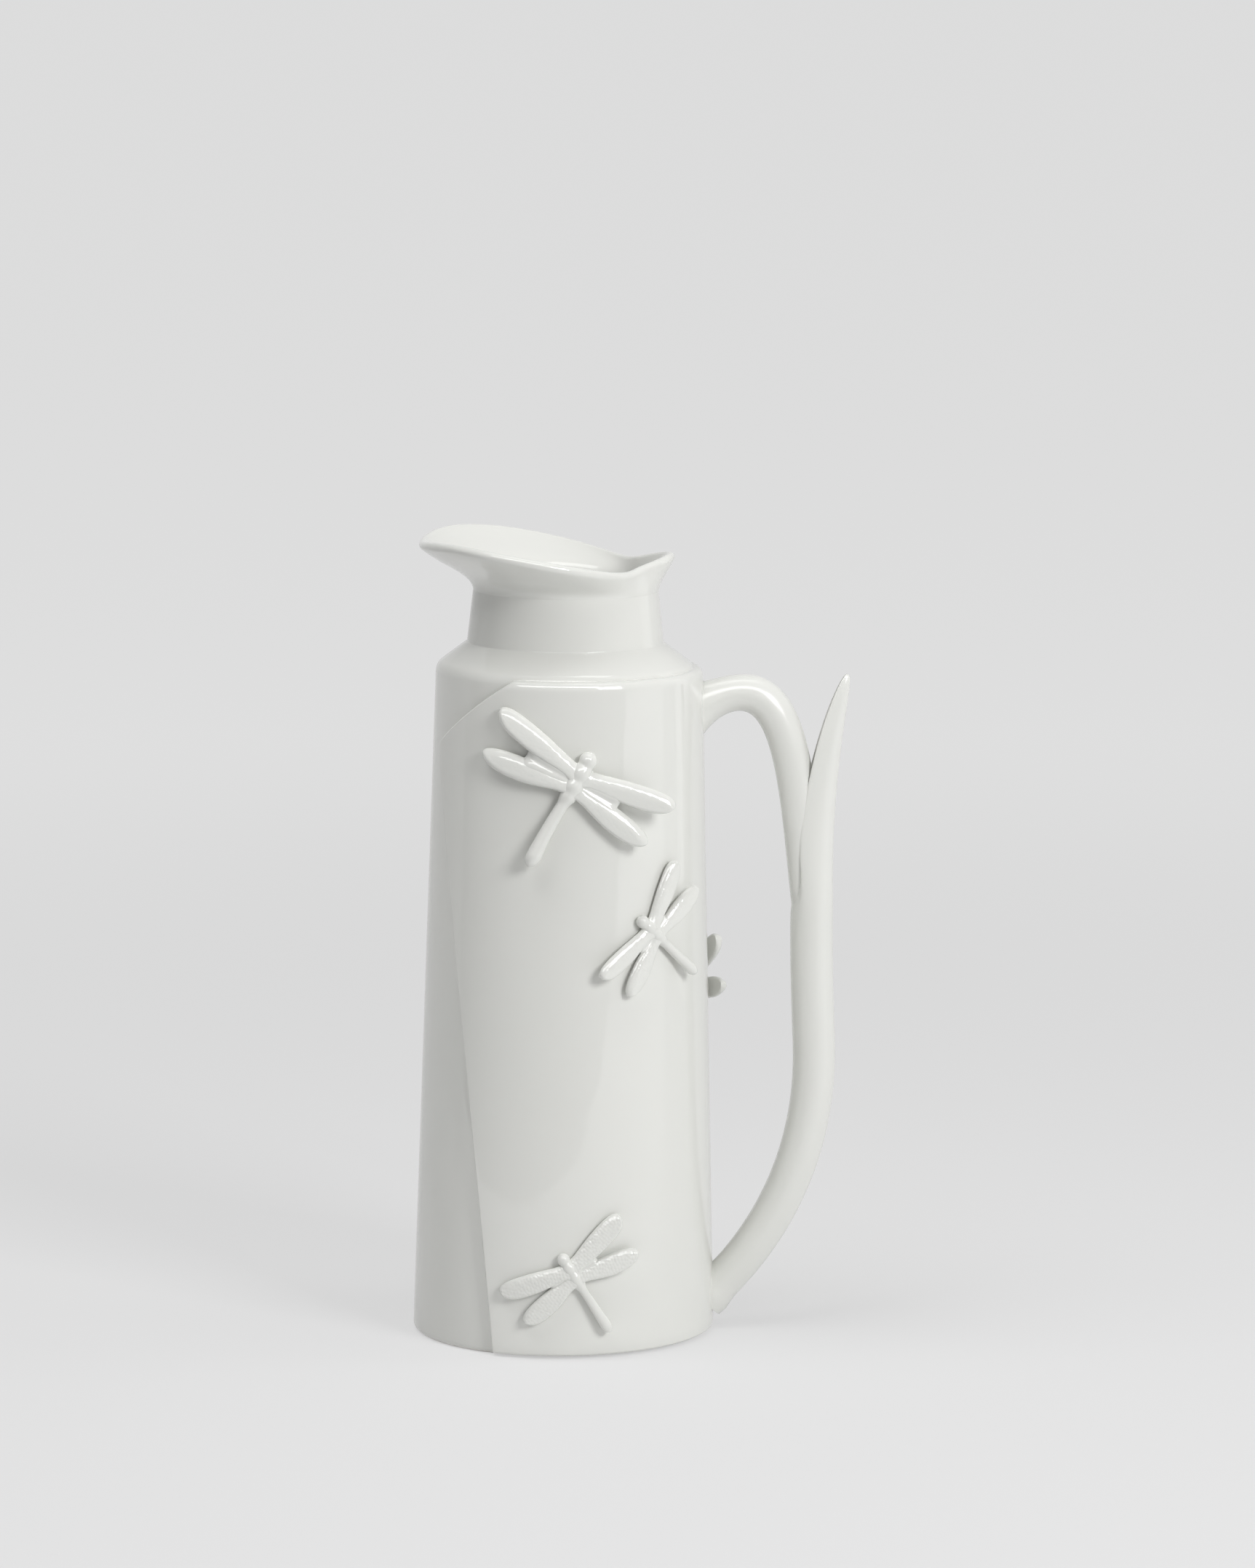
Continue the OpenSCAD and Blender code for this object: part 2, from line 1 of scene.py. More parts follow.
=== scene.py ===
# %% [markdown]
# # A porcelain carafe with dragonflies
# The carafe is slip-cast porcelain under a clear glossy glaze: a leaning vessel with a pouring lip, a
# sheet of clay wrapped round it, a handle like a forked plant stem, and dragonflies laid on the sheet.
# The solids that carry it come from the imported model. Here every piece is drawn again as a smooth
# surface over two parameters, because glaze rounds each edge and the solids are too plain for that.

# %% Load the frame
import math

import bpy
import numpy as np
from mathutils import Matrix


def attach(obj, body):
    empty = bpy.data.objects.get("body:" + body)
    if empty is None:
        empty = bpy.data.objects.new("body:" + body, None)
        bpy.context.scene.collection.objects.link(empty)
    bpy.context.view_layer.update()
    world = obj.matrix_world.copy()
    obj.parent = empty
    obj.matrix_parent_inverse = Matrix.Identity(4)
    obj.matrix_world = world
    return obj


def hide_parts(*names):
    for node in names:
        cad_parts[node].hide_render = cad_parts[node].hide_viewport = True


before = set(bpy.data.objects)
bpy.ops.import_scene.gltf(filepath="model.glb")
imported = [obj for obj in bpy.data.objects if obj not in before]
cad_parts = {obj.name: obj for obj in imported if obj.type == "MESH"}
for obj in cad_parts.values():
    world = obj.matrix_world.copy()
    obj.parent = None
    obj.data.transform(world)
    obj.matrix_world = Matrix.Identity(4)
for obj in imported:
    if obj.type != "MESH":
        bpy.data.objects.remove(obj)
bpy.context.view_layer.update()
print("solids:", len(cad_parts))

# %% [markdown]
# ## Sizes
# A potter measures in millimetres, so the shapes below are worked out in millimetres and turned into
# metres as they enter Blender. These are the sizes that the pieces share. Heights on the vessel are
# measured along its axis, which leans a little towards the handle.

# %% Shared sizes in millimetres
MM = 0.001
LEAN = math.radians(0.6)
FLAT_BELOW = 30.0
FOOT_R = 51.5
SHOULDER_R = 45.0
SHOULDER_H = 235.0
WALL = 4.0
NECK_R = 34.25
NECK_TOP_R = 32.3
NECK_H = 18.0
SHOULDER_SLOPE = math.radians(37)
NECK_FOOT_H = SHOULDER_H + (SHOULDER_R - NECK_R) * math.tan(SHOULDER_SLOPE)
NECK_TOP_H = NECK_FOOT_H + NECK_H
PANEL_T = 3.0
PANEL_TOP = SHOULDER_H - 0.5
PANEL_FOOT = 0.6


def side_radius(h):
    """Radius of the vessel's side: it runs straight from the foot to the shoulder."""
    return FOOT_R + (SHOULDER_R - FOOT_R) * h / SHOULDER_H


def panel_radius(h):
    """Radius of the wrapped panel's outside."""
    return side_radius(h) + PANEL_T


def ease(t):
    """Soft step: 3 t squared minus 2 t cubed, held at 0 and 1 outside."""
    c = np.clip(t, 0, 1)
    return c * c * (3 - 2 * c)


def leaned(x, y, z):
    """The lean: x grows with height, and the far side sinks by the same angle, but not at the table,
    where the foot is ground flat."""
    tilt = math.sin(LEAN)
    return np.stack([x + z * tilt, y, z - x * tilt * ease(z / FLAT_BELOW)], axis=-1)


print("neck from", round(NECK_FOOT_H, 1), "to", round(NECK_TOP_H, 1), "mm")

# %% [markdown]
# ## From a grid of points to a mesh
# A surface over two parameters is a grid of points, and its faces join each point with its neighbours.
# Three helpers cover every piece here. A tube is a stack of closed rings with a pole at each end. A
# hoop is a stack of rings whose last joins the first. A leaf is two sheets, front and back, that are
# sewn together along their border. Faces wider apart than a set angle keep a crisp edge between them.

# %% Mesh helpers
CRISP = math.radians(50)


def quads(rows, cols, wrap_rows=False, wrap_cols=False):
    """Corner numbers of the faces of a grid, as an array of four columns."""
    i = np.arange(rows if wrap_rows else rows - 1)[:, None]
    j = np.arange(cols if wrap_cols else cols - 1)[None, :]
    i2, j2 = (i + 1) % rows, (j + 1) % cols
    corners = [i * cols + j, i * cols + j2, i2 * cols + j2, i2 * cols + j]
    return np.stack([c.ravel() for c in np.broadcast_arrays(*corners)], axis=1)


def make_mesh(name, points, faces):
    """A smooth mesh object at the origin from points in millimetres and lists of corner numbers."""
    mesh = bpy.data.meshes.new(name)
    mesh.from_pydata((points * MM).tolist(), [], faces)
    mesh.shade_smooth()
    mesh.set_sharp_from_angle(angle=CRISP)
    piece = bpy.data.objects.new(name, mesh)
    bpy.context.scene.collection.objects.link(piece)
    print(name, len(mesh.vertices), "points,", len(mesh.polygons), "faces")
    return piece


def tube(name, rings, start=None, end=None):
    """Rings of shape (m, n, 3), closed at both ends by fans to a pole each."""
    m, n, _ = rings.shape
    start = rings[0].mean(axis=0) if start is None else start
    end = rings[-1].mean(axis=0) if end is None else end
    points = np.concatenate([rings.reshape(-1, 3), [start], [end]])
    j = np.arange(n)
    k = (j + 1) % n
    low = np.stack([np.full(n, m * n), k, j], axis=1)
    high = np.stack([np.full(n, m * n + 1), (m - 1) * n + j, (m - 1) * n + k], axis=1)
    return make_mesh(name, points, quads(m, n, wrap_cols=True).tolist() + low.tolist() + high.tolist())


def hoop(name, rings):
    """Rings of shape (m, n, 3), where the last ring joins the first."""
    m, n, _ = rings.shape
    return make_mesh(name, rings.reshape(-1, 3), quads(m, n, True, True).tolist())


def leaf(name, front, back):
    """Two grids of the same shape (m, n, 3), joined all round their border."""
    m, n, _ = front.shape
    face = quads(m, n)
    border = np.concatenate([
        np.arange(n), n - 1 + n * np.arange(1, m),
        m * n - 1 - np.arange(1, n), n * np.arange(m - 2, 0, -1),
    ])
    after = np.roll(border, -1)
    seam = np.stack([after, border, border + m * n, after + m * n], axis=1)
    points = np.concatenate([front.reshape(-1, 3), back.reshape(-1, 3)])
    return make_mesh(name, points, np.concatenate([face, face[:, ::-1] + m * n, seam]).tolist())


# %% [markdown]
# ## Outlines with rounded corners
# The vessel is turned on a wheel, so one outline describes it: the foot ring, the side, the shoulder,
# the neck, and back down the inside to the floor. A corner of the outline becomes an arc that touches
# both lines, and long lines get points in between, so that the turned faces stay well shaped. A Bevel
# modifier could round the edges too, but here each corner has its own radius.

# %% Outline helpers
ARC_STEPS = 9


def corner_arc(before, corner, after, radius):
    """Arc of that radius that touches the lines from the corner to its two neighbours."""
    u = (before - corner) / np.linalg.norm(before - corner)
    v = (after - corner) / np.linalg.norm(after - corner)
    half = math.acos(np.clip(u @ v, -1, 1)) / 2
    middle = corner + (u + v) / np.linalg.norm(u + v) * radius / math.sin(half)
    first = corner + u * radius / math.tan(half) - middle
    last = corner + v * radius / math.tan(half) - middle
    start = math.atan2(first[1], first[0])
    sweep = (math.atan2(last[1], last[0]) - start + math.pi) % (2 * math.pi) - math.pi
    angle = start + sweep * np.linspace(0, 1, ARC_STEPS)
    return middle + radius * np.stack([np.cos(angle), np.sin(angle)], axis=1)


def outline(corners, step):
    """Line through (x, y, rounding) corners with its inner corners rounded and no stretch over step."""
    spots = np.array([c[:2] for c in corners])
    parts = [spots[:1]]
    for i in range(1, len(corners) - 1):
        rounding = corners[i][2]
        parts.append(corner_arc(*spots[i - 1:i + 2], rounding) if rounding else spots[i:i + 1])
    line = np.concatenate(parts + [spots[-1:]])
    lengths = np.linalg.norm(np.diff(line, axis=0), axis=1)
    pieces = np.maximum(np.ceil(lengths / step), 1).astype(int)
    index = np.repeat(np.arange(len(pieces)), pieces)
    share = (np.arange(pieces.sum()) - np.repeat(np.cumsum(pieces) - pieces, pieces)) / pieces[index]
    return np.concatenate([line[index] + share[:, None] * (line[index + 1] - line[index]), line[-1:]])


# %% The vessel
TURNS = 256
OUTLINE_STEP = 4.0
FLOOR_H, HOLLOW_H = 7.5, 2.5
FOOT_RING, RING_SPREAD = 6.0, 1.0
HOLLOW_R = FOOT_R - FOOT_RING
INNER_DROP = WALL / math.cos(SHOULDER_SLOPE) - WALL * math.tan(SHOULDER_SLOPE)
HOLLOW_ROUND, RING_ROUND, FOOT_EDGE_ROUND = 1.2, 0.7, 2.2
SHOULDER_ROUND, NECK_FOOT_ROUND = 5.0, 0.5
INNER_NECK_ROUND, INNER_SHOULDER_ROUND, INNER_FLOOR_ROUND = 9.0, 4.0, 9.0
around = np.linspace(0, 2 * np.pi, TURNS, endpoint=False)


def turned(name, line):
    """An outline of (radius, height) points carried round the leaning axis. It starts and ends on it."""
    r, h = line[1:-1, 0, None], line[1:-1, 1, None]
    rings = leaned(r * np.cos(around), r * np.sin(around), h + 0 * around)
    return tube(name, rings, leaned(0, 0, line[0, 1]), leaned(0, 0, line[-1, 1]))


vessel_outline = outline([
    (0, HOLLOW_H, 0),
    (HOLLOW_R, HOLLOW_H, HOLLOW_ROUND),
    (HOLLOW_R + RING_SPREAD, 0, RING_ROUND),
    (FOOT_R, 0, FOOT_EDGE_ROUND),
    (SHOULDER_R, SHOULDER_H, SHOULDER_ROUND),
    (NECK_R, NECK_FOOT_H, NECK_FOOT_ROUND),
    (NECK_TOP_R, NECK_TOP_H, 0),
    (NECK_TOP_R - WALL, NECK_TOP_H, 0),
    (NECK_R - WALL, NECK_FOOT_H - INNER_DROP, INNER_NECK_ROUND),
    (SHOULDER_R - WALL, SHOULDER_H - INNER_DROP, INNER_SHOULDER_ROUND),
    (side_radius(FLOOR_H) - WALL, FLOOR_H, INNER_FLOOR_ROUND),
    (0, FLOOR_H, 0),
], OUTLINE_STEP)
vessel = turned("vessel_body", vessel_outline)

# %% [markdown]
# ## The pouring lip
# The lip grows out of the neck: a wide spout on the left, a low waist on both sides and a pointed tail
# over the handle. It could be sculpted by hand, but its section changes smoothly round the neck, so
# here two formulas say how far the rim reaches out and how high it rises at each angle, and a curve
# from the neck to the rim is worked out for all angles at once. The rim is rounded, as wiped clay is.

# %% Lip sizes and formulas
SPOUT_REACH, SPOUT_RISE, SPOUT_DIP = 21.0, 17.2, 1.8
WAIST_REACH, WAIST_RISE = 0.7, 7.6
TAIL_REACH, TAIL_RISE = 5.8, 11.8
REACH_SPAN, RISE_SPAN, DIP_SPAN = (30, 130), (50, 140), (140, 180)
TAIL_REACH_SPAN, TAIL_RISE_SPAN = (0, 40), (0, 52)
RIM_T = 3.2


def span(angle, low, high):
    """Soft step over a range of angles in degrees."""
    return ease((angle - low) / (high - low))


def lip_reach(a):
    """How far the rim's middle stands out at an angle from the tail: waist, spout, dip and tail summed."""
    spout = (SPOUT_REACH - WAIST_REACH) * span(a, *REACH_SPAN) - SPOUT_DIP * span(a, *DIP_SPAN)
    return WAIST_REACH + spout + (TAIL_REACH - WAIST_REACH) * (1 - span(a, *TAIL_REACH_SPAN))


def lip_rise(a):
    """How high the rim's middle stands above the neck, summed in the same way."""
    spout = (SPOUT_RISE - WAIST_RISE) * span(a, *RISE_SPAN) - SPOUT_DIP * span(a, *DIP_SPAN)
    return WAIST_RISE + spout + (TAIL_RISE - WAIST_RISE) * (1 - span(a, *TAIL_RISE_SPAN))


for label, a in {"tail": 0, "waist": 40, "spout": 180}.items():
    print(label, "reaches", round(float(lip_reach(a)), 1), "and rises", round(float(lip_rise(a)), 1), "mm")

# %% The lip's surface
LIP_LEAVES = 0.14
LEAVE_SHARE, ARRIVE_SHARE = 0.24, 0.42
LIP_POINTS, RIM_POINTS = 30, 8
RIM_TURN = (20, 160)
SEAT_POWER = 4


def lip_rings():
    """For each angle, a cubic curve leaves the neck at a slight edge and runs to the rim along the
    straight line between them. The inside lies one wall thickness behind it, drawn in to the neck's
    inside at its foot, and a half circle joins them at the rim."""
    angle = np.degrees(np.abs((around + np.pi) % (2 * np.pi) - np.pi))[:, None]
    reach, rise = lip_reach(angle), lip_rise(angle)
    length = np.hypot(reach, rise)
    out, up = reach / length, rise / length
    end_x = NECK_TOP_R - WALL / 2 + reach + RIM_T / 2 * up
    end_y = rise - RIM_T / 2 * out
    leave = LEAVE_SHARE * length
    arrive = ARRIVE_SHARE * length
    xs = [NECK_TOP_R, NECK_TOP_R + LIP_LEAVES * leave, end_x - arrive * out, end_x]
    ys = [0, leave, end_y - arrive * up, end_y]
    t = np.linspace(0, 1, LIP_POINTS)[None, :]
    b = [(1 - t) ** 3, 3 * t * (1 - t) ** 2, 3 * t * t * (1 - t), t ** 3]
    d = [(1 - t) ** 2, 2 * t * (1 - t), t * t]
    x = sum(w * p for w, p in zip(b, xs))
    y = sum(w * p for w, p in zip(b, ys))
    dx = sum(w * (q - p) for w, p, q in zip(d, xs, xs[1:]))
    dy = sum(w * (q - p) for w, p, q in zip(d, ys, ys[1:]))
    dx, dy = dx / np.hypot(dx, dy), dy / np.hypot(dx, dy)
    thick = WALL + (RIM_T - WALL) * t
    inner_x, inner_y = x - thick * dy, y + thick * dx
    turn = np.radians(np.linspace(*RIM_TURN, RIM_POINTS))[None, :]
    mid_x, mid_y = (x[:, -1:] + inner_x[:, -1:]) / 2, (y[:, -1:] + inner_y[:, -1:]) / 2
    rim_x = mid_x + RIM_T / 2 * (np.cos(turn) * dy[:, -1:] + np.sin(turn) * dx[:, -1:])
    rim_y = mid_y + RIM_T / 2 * (-np.cos(turn) * dx[:, -1:] + np.sin(turn) * dy[:, -1:])
    inner_y = inner_y - inner_y[:, :1] * (1 - t) ** SEAT_POWER
    inner_x = inner_x + (NECK_TOP_R - WALL - inner_x[:, :1]) * (1 - t) ** SEAT_POWER
    r = np.concatenate([inner_x, rim_x[:, ::-1], x[:, ::-1]], axis=1)
    h = np.concatenate([inner_y, rim_y[:, ::-1], y[:, ::-1]], axis=1) + NECK_TOP_H
    return leaned(r * np.cos(around)[:, None], r * np.sin(around)[:, None], h)


lip = hoop("pouring_lip", lip_rings())

# %% [markdown]
# ## The wrapped panel
# A thin sheet of clay is wrapped round all but the spout side. Its edge slants across the front, turns
# at a rounded corner and slopes up to the top. A boolean cut would leave a hard edge, so the sheet is a
# grid that fits its own outline: rows run at equal height, and columns follow the slanted edge. Near
# the border the thickness falls off along a soft curve, which gives the glazed edge.

# %% The panel's outline
EDGE_AZ_FOOT, EDGE_AZ_CORNER, EDGE_AZ_TOP = 25.0, 64.0, 22.0
CORNER_H = PANEL_TOP - 24.0
EDGE_BOW = 2.4
CUT_AZ = 52.0
CORNER_SOFT = 3.0


def cut_offset(az, h):
    """Sideways distance of a point of the panel from the direction that the edge is measured along."""
    return panel_radius(h) * np.sin(np.radians(CUT_AZ - az))


def panel_end_angle(h):
    """Half of the angle that the panel wraps at a height: a bowed slanted line and a straight slope,
    joined by a soft maximum."""
    foot = cut_offset(EDGE_AZ_FOOT, 0)
    corner = cut_offset(EDGE_AZ_CORNER, CORNER_H)
    top = cut_offset(EDGE_AZ_TOP, PANEL_TOP)
    t = h / CORNER_H
    slanted = foot + (corner - foot) * t + 4 * EDGE_BOW * t * (1 - t)
    slope = corner + (top - corner) * (h - CORNER_H) / (PANEL_TOP - CORNER_H)
    offset = (slanted + slope + np.hypot(slanted - slope, CORNER_SOFT)) / 2
    return np.radians(90 + CUT_AZ) - np.arcsin(offset / panel_radius(h))


for label, h in {"foot": 0, "corner": CORNER_H, "top": PANEL_TOP}.items():
    print("at its", label, "the panel wraps", round(2 * math.degrees(panel_end_angle(h))), "degrees")

# %% The panel's surface
EDGE_ROUND, TOP_ROUND, FOOT_ROUND = 1.1, 3.2, 1.4
PILLOW_POWER = 0.31
PANEL_SINK = 0.6
FOOT_STEPS, EDGE_STEPS = 7, 16
SIDE_ROWS, UPPER_ROWS, ACROSS = 74, 40, 150
FINE_BELOW_CORNER = 8.0


def quarter(d, r):
    """Height of a quarter circle at a distance from the border, as a share of 1."""
    return np.sqrt(np.clip(1 - np.clip(1 - d / r, 0, 1) ** 2, 0, 1))


def pillow(d, r):
    """Height of a soft edge at a distance from the border, as a share of 1: steep at the border, and
    then ever flatter until the full height at the distance r."""
    return np.clip(1 - np.clip(1 - d / r, 0, 1) ** 2, 0, 1) ** PILLOW_POWER


def border_steps(r, count):
    """Distances from a border that follow a quarter circle evenly."""
    return r * (1 - np.cos(np.linspace(0, np.pi / 2, count)))


def panel_sheets():
    """Front: radius of the side plus the thickness, which the distances to the four borders shape.
    Back: the same places, just inside the vessel's wall."""
    low = PANEL_FOOT + border_steps(FOOT_ROUND, FOOT_STEPS)
    high = PANEL_TOP - border_steps(TOP_ROUND, EDGE_STEPS)[::-1]
    corner_low = CORNER_H - FINE_BELOW_CORNER
    middle = np.linspace(low[-1], corner_low, SIDE_ROWS)[1:-1]
    upper = np.linspace(corner_low, high[0], UPPER_ROWS)[:-1]
    h = np.concatenate([low, middle, upper, high])[:, None]
    end = panel_end_angle(h)
    slope = np.gradient(end[:, 0], h[:, 0])[:, None] * side_radius(h)
    stretch = np.sqrt(1 + slope ** 2) / side_radius(h)
    border = border_steps(EDGE_ROUND, EDGE_STEPS)[None, :]
    near = end - border * stretch
    inner = near[:, -1:]
    across = np.linspace(-1, 1, ACROSS)[None, 1:-1]
    angle = np.concatenate([-near, inner * across, near[:, ::-1]], axis=1)
    d_side = (end - np.abs(angle)) / stretch
    rounded = pillow(d_side, EDGE_ROUND) * pillow(PANEL_TOP - h, TOP_ROUND)
    front_r = side_radius(h) + PANEL_T * (rounded * quarter(h - PANEL_FOOT, FOOT_ROUND))
    back_r = side_radius(h) - PANEL_SINK + 0 * angle
    return [leaned(r * np.cos(angle), r * np.sin(angle), h + 0 * angle) for r in (front_r, back_r)]


panel = leaf("wrap_panel", *panel_sheets())

# %% [markdown]
# ## The handle
# The handle is a plant stem that rises from the foot of the panel and ends in a pointed sheath leaf.
# A branch leaves the leaf's hollow, arches over and joins the panel. Both could be curves with a bevel,
# but their sections change, so they are sections carried along a path in the plane of the spout. The
# stem's section is an ellipse low down and a crescent higher up, hollow on the side of the branch. Near
# the panel the sections swell, as slip and glaze fill the joint.

# %% Handle paths
GRIP_T, GRIP_DEPTH = 15.0, 15.4
FINGER_GAP = 29.3
GRIP_LOW_H = 100.0
STEM_FOOT_H, STEM_FOOT_T = 12.7, 13.9
STEM_SLOPE = math.radians(42)
ARCH_T, ARCH_DEPTH, ARCH_CROWN = 12.85, 12.6, 10.4
ARCH_ROOT_H = PANEL_TOP - 13.5
TIP_H = ARCH_ROOT_H + 10.5
LEAF_L = 80.5
TIP_OUT = 11.3
ROOT_SINK = 4.0


def wall_x(z):
    """Where the panel's outside is on the handle side, at a height."""
    return z * math.tan(LEAN) + panel_radius(z)


GRIP_X = wall_x(GRIP_LOW_H) + FINGER_GAP + GRIP_T / 2


def cubic(corners, t):
    """Points and unit directions of a cubic curve with four (x, z) control points."""
    p = np.array(corners, float)
    t = np.asarray(t)[:, None]
    spot = (1 - t) ** 3 * p[0] + 3 * t * (1 - t) ** 2 * p[1] + 3 * t * t * (1 - t) * p[2] + t ** 3 * p[3]
    way = (1 - t) ** 2 * (p[1] - p[0]) + 2 * t * (1 - t) * (p[2] - p[1]) + t * t * (p[3] - p[2])
    return spot, way / np.linalg.norm(way, axis=1, keepdims=True)


def joined(paths, shares):
    """Several cubic curves end to end: points and directions, without the doubled joints."""
    parts = [cubic(path, t if i == 0 else t[1:]) for i, (path, t) in enumerate(zip(paths, shares))]
    return np.concatenate([p for p, _ in parts]), np.concatenate([d for _, d in parts])


def swept(spot, way, side, depth):
    """Sections carried along a path in the XZ plane: side is measured off the path to its right, seen
    from the front, and depth along Y. Both are arrays of shape (path, section)."""
    x = spot[:, :1] + way[:, 1:] * side
    z = spot[:, 1:] - way[:, :1] * side
    return np.stack([x, depth, z], axis=-1)


def glaze_swell(spot, size, width):
    """Swelling of a section near the panel: it dies away with the distance from the panel's face."""
    gap = np.maximum(spot[:, :1] - wall_x(spot[:, 1:]), 0)
    return size * np.exp(-gap / width)


print("the grip stands", round(GRIP_X, 1), "mm from the middle")

# %% The stem and its sheath leaf
SECTION = 64
STEM_STEPS, LEAF_STEPS = 60, 90
FOOT_PULL, GRIP_PULL = 54.0, 9.0
RISE_PULL, TIP_PULL = (-1.5, 40.0), (-3.5, -45.5)
TIP_SHARE = 0.9985
LEAF_T_POWER, LEAF_DEPTH_POWER = 0.45, 0.5
SWELL_SIZE, SWELL_WIDTH = 1.2, 1.3
RIM_ANGLE = np.radians(118)
SCOOP_FROM, SCOOP_RUN, SCOOP_DEPTH = 146.0, 34.0, 0.95


def stem_rings():
    """An ellipse along the stem. Above the branch, the part of the section that faces it turns into a
    hollow between two rims, and the section is widened so that its outline stays where it was."""
    foot = np.array([wall_x(STEM_FOOT_H), STEM_FOOT_H])
    away = np.array([math.cos(STEM_SLOPE), math.sin(STEM_SLOPE)])
    start = foot - ROOT_SINK * away
    grip = (GRIP_X, GRIP_LOW_H)
    bend = [start, start + FOOT_PULL * away, (GRIP_X, GRIP_LOW_H - GRIP_PULL), grip]
    rise = [grip, (GRIP_X + RISE_PULL[0], GRIP_LOW_H + RISE_PULL[1]),
            (GRIP_X + TIP_PULL[0], TIP_H + TIP_PULL[1]), (GRIP_X + TIP_OUT, TIP_H)]
    to_tip = TIP_SHARE * np.sin(np.linspace(0, np.pi / 2, LEAF_STEPS))
    spot, way = joined([bend, rise], [np.linspace(0, 1, STEM_STEPS), to_tip])
    h = spot[:, 1:]
    left = 1 - np.clip((h - TIP_H + LEAF_L) / LEAF_L, 0, 1)
    low = np.clip((h - STEM_FOOT_H) / (GRIP_LOW_H - STEM_FOOT_H), 0, 1)
    swell = glaze_swell(spot, SWELL_SIZE, SWELL_WIDTH)
    half_t = (STEM_FOOT_T + (GRIP_T - STEM_FOOT_T) * low) / 2 * left ** LEAF_T_POWER + swell
    half_d = GRIP_DEPTH / 2 * left ** LEAF_DEPTH_POWER + swell
    hollow = ease((h - SCOOP_FROM) / SCOOP_RUN)
    rim = math.cos(RIM_ANGLE)
    wide = 2 * half_t / (1 - (hollow * rim - (1 - hollow)))
    angle = np.linspace(-np.pi, np.pi, SECTION, endpoint=False)[None, :]
    inner = np.clip((np.pi - np.abs(angle)) / (np.pi - RIM_ANGLE), 0, 1)
    facing = np.abs(angle) > RIM_ANGLE
    scoop_x = rim + SCOOP_DEPTH * (1 - inner ** 2)
    scoop_y = np.sin(RIM_ANGLE) * inner * np.sign(angle)
    side = np.where(facing, (1 - hollow) * np.cos(angle) + hollow * scoop_x, np.cos(angle))
    deep = np.where(facing, (1 - hollow) * np.sin(angle) + hollow * scoop_y, np.sin(angle))
    soft = [(np.roll(a, 1, 1) + 2 * a + np.roll(a, -1, 1)) / 4 for a in (side, deep)]
    return swept(spot, way, half_t - wide + wide * soft[0], half_d * soft[1])


stem = tube("handle_stem", stem_rings())

# %% The arch
ARCH_STEPS = 56
ROOT_FLARE, END_SLIM = 0.3, 0.15


def arch_rings():
    """Sections between two rails, the branch's upper and lower line. Each rail is a pair of cubic curves
    that meet level at the crown. The rails part at the root, and their ends lie inside the stem."""
    def guide(share, lift):
        """A place at a share of the way from the panel to the grip, and a lift above the root."""
        root_x = wall_x(ARCH_ROOT_H)
        return np.array([root_x + share * (GRIP_X - root_x), ARCH_ROOT_H + lift])

    low_crown = ARCH_CROWN - ARCH_T
    upper = [
        [guide(-0.10, 7.6), guide(0.033, 7.6), guide(0.162, ARCH_CROWN), guide(0.363, ARCH_CROWN)],
        [guide(0.363, ARCH_CROWN), guide(1.01, ARCH_CROWN), guide(1.05, -36), guide(1.02, -71)],
    ]
    lower = [
        [guide(-0.10, -18), guide(-0.013, -9.5), guide(0.149, low_crown), guide(0.327, low_crown)],
        [guide(0.327, low_crown), guide(0.676, low_crown), guide(0.707, -46), guide(0.805, -75)],
    ]
    t = np.linspace(0, 1, ARCH_STEPS)
    top, low = joined(upper, [t, t])[0], joined(lower, [t, t])[0]
    middle, half = (top + low) / 2, (top - low) / 2
    flare = np.concatenate([1 + ROOT_FLARE * (1 - t) ** 3, 1 - END_SLIM * t[1:] ** 2])[:, None]
    angle = np.linspace(-np.pi, np.pi, SECTION, endpoint=False)[None, :]
    x, z = (middle[:, i:i + 1] - half[:, i:i + 1] * np.cos(angle) for i in (0, 1))
    return np.stack([x, flare * ARCH_DEPTH / 2 * np.sin(angle), z], axis=-1)


arch = tube("handle_arch", arch_rings())

# %% [markdown]
# ## The dragonflies
# Each dragonfly is modelled by hand in clay and laid on the panel with slip. One dragonfly is described
# in its own frame, with x across, y towards the head and n off the panel, and a function sets that
# frame down at an angle round the panel, a height, a heading and a size. No two are alike: the wings
# stand at their own angles, hug the round panel more or less closely, and differ in how far the glaze
# fills the notch between them, how plump they are and how much of the hammering shows.

# %% Setting a dragonfly on the panel
SIDE_TAPER = math.atan((FOOT_R - SHOULDER_R) / SHOULDER_H)
FLIES = {
    "top": dict(
        az=5.5, h=PANEL_TOP - 33, heading=29.4, size=1.0, wings=(80, 99.5, 79, 98.5),
        hug=(1.0, 0.1), notch=(0.55, 0.48), bow=-0.4, relief=0.03, plump=1.0,
    ),
    "middle": dict(
        az=36.7, h=PANEL_TOP - 86.5, heading=-48.7, size=0.73, wings=(78, 101, 74.5, 100),
        hug=(0.25, 0.25), notch=(0.33, 0.27), bow=0.0, relief=0.05, plump=1.14,
    ),
    "lower": dict(
        az=4.9, h=30.7, heading=-32.6, size=0.73, wings=(77.5, 100.5, 75, 101.5),
        hug=(0.85, 0.4), notch=(0.35, 0.38), bow=0.0, relief=0.16, plump=1.25,
    ),
    "rear": dict(
        az=127, h=PANEL_TOP - 117.5, heading=14, size=0.9, wings=(65.5, 89.5, 81.5, 102.5),
        hug=(0.45, 0.45), notch=(0.4, 0.4), bow=0.0, relief=0.03, plump=1.0,
    ),
}


